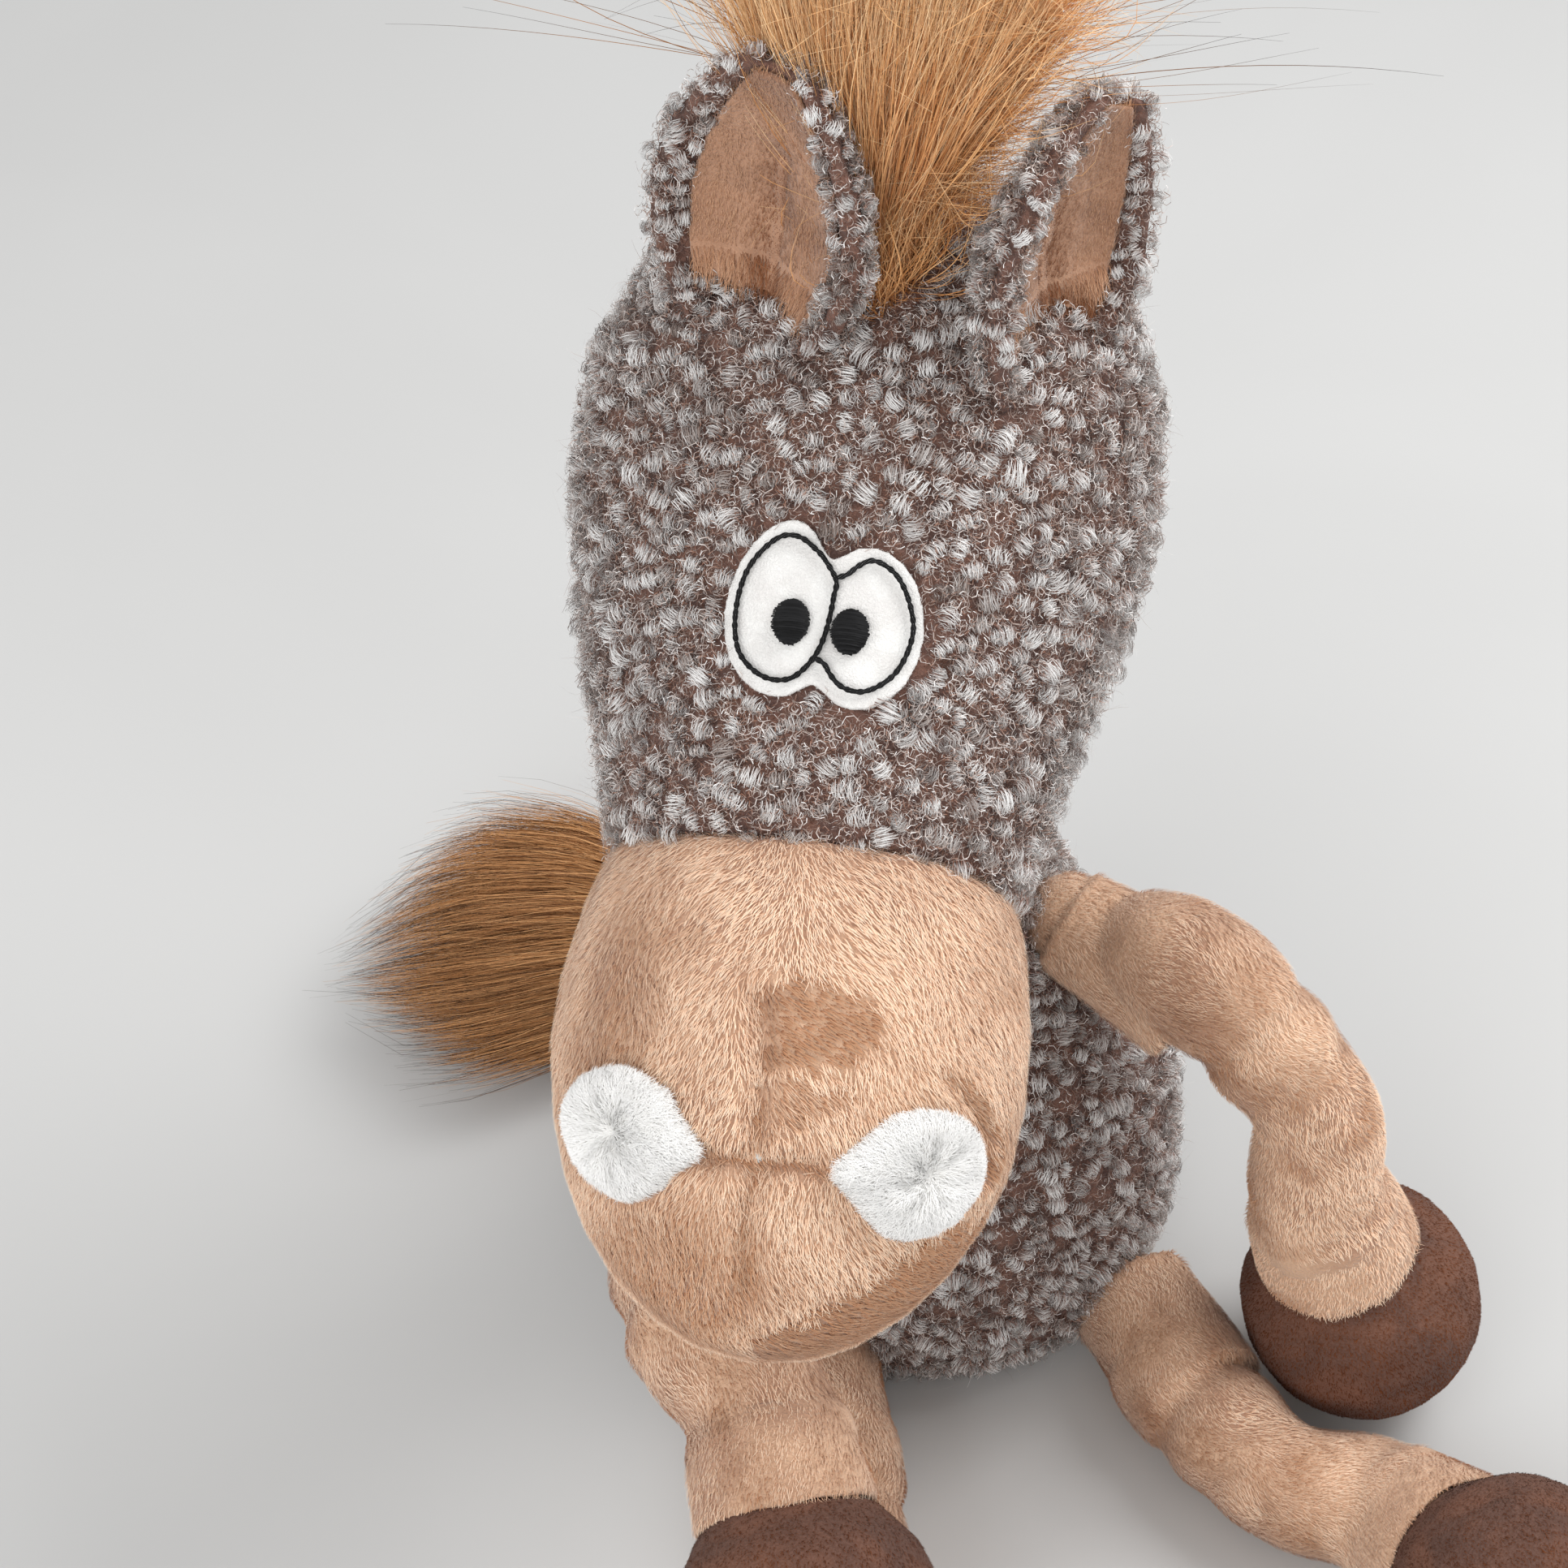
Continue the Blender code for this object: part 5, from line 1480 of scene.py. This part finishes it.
# %% Mane
UP = np.array((0.0, 0.0, 1.0))
MANE_TOP = 0.393
MANE_STEPS = 11
mane_side = np.array(HEAD_SIDE)
mane_back = unit(np.cross(UP, mane_side))
mane_rows = girths("mane", UP, mane_side, mane_back, np.linspace(0.05, 0.97, 10))
FAN_SHARES = (0.0, 0.2, 0.45, 0.7, 1.0)
FAN_WIDTHS = (7 * MM, 14 * MM, 21 * MM, 28 * MM, 36 * MM)
fan = [float(np.interp(row[0], FAN_SHARES, FAN_WIDTHS)) for row in mane_rows]
mane_rows = [
    (share, middle, max(half_wide, wide), max(half_high, wide * 0.5))
    for (share, middle, half_wide, half_high), wide in zip(mane_rows, fan)
]
# Name, hairs, steps, spread, shares of the length where hairs end, half width, finish and mess
MANE_COATS = (
    ("mane_hair_1", 9000, MANE_STEPS, (1.0, 1.0), (0.70, 1.04), 0.12 * MM, mane_hair, 0.30),
    ("mane_hair_2", 9000, MANE_STEPS, (1.2, 1.1), (0.50, 1.00), 0.10 * MM, mane_hair, 0.45),
    ("mane_down", 9000, MANE_STEPS, (1.1, 1.2), (0.20, 0.70), 0.10 * MM, mane_hair, 0.50),
)
for name, *looks in MANE_COATS:
    coat = strands(name, mane_rows, mane_side, mane_back, *looks)
    put(coat, "head", ["mane"] if name == "mane_hair_1" else ())


def sprays(name, spots, aims, length, half_width, sway_share, droop, steps, material):
    """Free hairs from their roots along their own aims, which bend down at the end."""
    count = len(spots)
    part = np.linspace(0, 1, steps)[None, :, None]
    side = flat_on(aims, rng.normal(0, 1, (count, 3)))
    swing = length * sway_share * rng.normal(0, 1, count)
    sway = side[:, None, :] * swing[:, None, None] * np.sin(part * 3.0)
    fall = -UP * (length * droop)[:, None, None] * part**2.5
    lines = spots[:, None, :] + aims[:, None, :] * length[:, None, None] * part + sway + fall
    height = lines[..., 2]
    lines[..., 2] = np.where(height > MANE_TOP, MANE_TOP - (height - MANE_TOP) * 0.15, height)
    across = unit(np.cross(aims, rng.normal(0, 1, (count, 3))))
    widths = across[:, None, :] * (half_width * (1 - 0.8 * part**2))
    return ribbons(name, lines, np.broadcast_to(widths, lines.shape), rng.random(count), material)


GUARD_HAIRS = 420
FRIZZ_HAIRS = 9000
root_row = mane_rows[3]
roots = root_row[1] + mane_side * (rng.uniform(-1, 1, (GUARD_HAIRS, 1)) * root_row[2])
sideways = rng.normal(0.08, 0.62, GUARD_HAIRS)
forward = rng.normal(0.0, 0.30, GUARD_HAIRS)
aims = unit(UP + mane_side * np.tan(np.clip(sideways, -1.25, 1.25))[:, None] + mane_back * forward[:, None])
room = (MANE_TOP - roots[:, 2]) / np.maximum(aims[:, 2], 0.25)
length = np.minimum(rng.uniform(40, 92, GUARD_HAIRS) * MM, room)
guard = sprays("mane_guard_hair", roots, aims, length, 0.085 * MM, 0.10, 0.12, 14, mane_dark_hair)
put(guard, "head")
spots, ways = sample(head, 150000, forelock)
splay = mane_side * rng.normal(0, 0.40, (len(spots), 1)) + rng.normal(0, 0.30, spots.shape)
aims = unit(UP * 0.9 + ways * 0.6 + splay)
length = rng.uniform(9, 30, len(spots)) * MM
fringe = sprays("mane_forelock_1", spots, aims, length, 0.085 * MM, 0.22, 0.05, 9, mane_hair)
put(fringe, "head")
print("Forelock:", len(spots), "hairs")
share = rng.uniform(0.0, 0.55, FRIZZ_HAIRS)
places = [row[0] for row in mane_rows]
middles = middles_at(share, mane_rows)
half_wide = np.interp(share, places, [row[2] for row in mane_rows])
roots = middles + mane_side * (rng.uniform(-0.55, 1.45, FRIZZ_HAIRS) * half_wide)[:, None]
roots = roots - mane_back * rng.uniform(0, 7 * MM, FRIZZ_HAIRS)[:, None]
roots[:, 2] += 6 * MM
aims = UP * 0.75 - mane_back * 0.25 + mane_side * rng.normal(0.14, 0.50, (FRIZZ_HAIRS, 1))
aims = unit(aims + rng.normal(0, 0.30, roots.shape))
length = rng.uniform(10, 28, FRIZZ_HAIRS) * MM
frizz = sprays("mane_frizz", roots, aims, length, 0.080 * MM, 0.26, 0.10, 8, mane_hair)
put(frizz, "head")

# %% Tail
tail_aim = np.array((-1.0, 0.0, 0.0))
tail_side = np.array((0.0, 1.0, 0.0))
tail_rows = girths("tail", tail_aim, tail_side, UP, np.linspace(0.06, 0.96, 12))
TAIL_STEPS = 10
TAIL_COATS = (
    ("tail_hair_1", 8000, TAIL_STEPS, (1.0, 1.0), (0.70, 0.99), 0.13 * MM, tail_hair, 0.12),
    ("tail_hair_2", 7500, TAIL_STEPS, (1.0, 1.08), (0.30, 0.92), 0.11 * MM, tail_hair, 0.22),
    ("tail_guard_hair_1", 2600, TAIL_STEPS, (1.0, 1.05), (0.80, 1.04), 0.12 * MM, tail_dark_hair, 0.15),
    ("tail_guard_hair_2", 1200, TAIL_STEPS, (1.0, 1.10), (0.50, 1.02), 0.10 * MM, tail_dark_hair, 0.22),
)
for name, *looks in TAIL_COATS:
    coat = strands(name, tail_rows, tail_side, UP, *looks)
    put(coat, "tail", ["tail"] if name == "tail_hair_1" else ())

# %% [markdown]
# What is inside the covers can't be seen, but it keeps its own finish: white fibre filling and a bag of
# pellets.

# %% Filling
for name in ("torso_stuffing", "head_stuffing", "muzzle_stuffing"):
    nodes[name].data.materials.clear()
    nodes[name].data.materials.append(stuffing)
nodes["pellet_bag"].data.materials.clear()
nodes["pellet_bag"].data.materials.append(pellet_cloth)
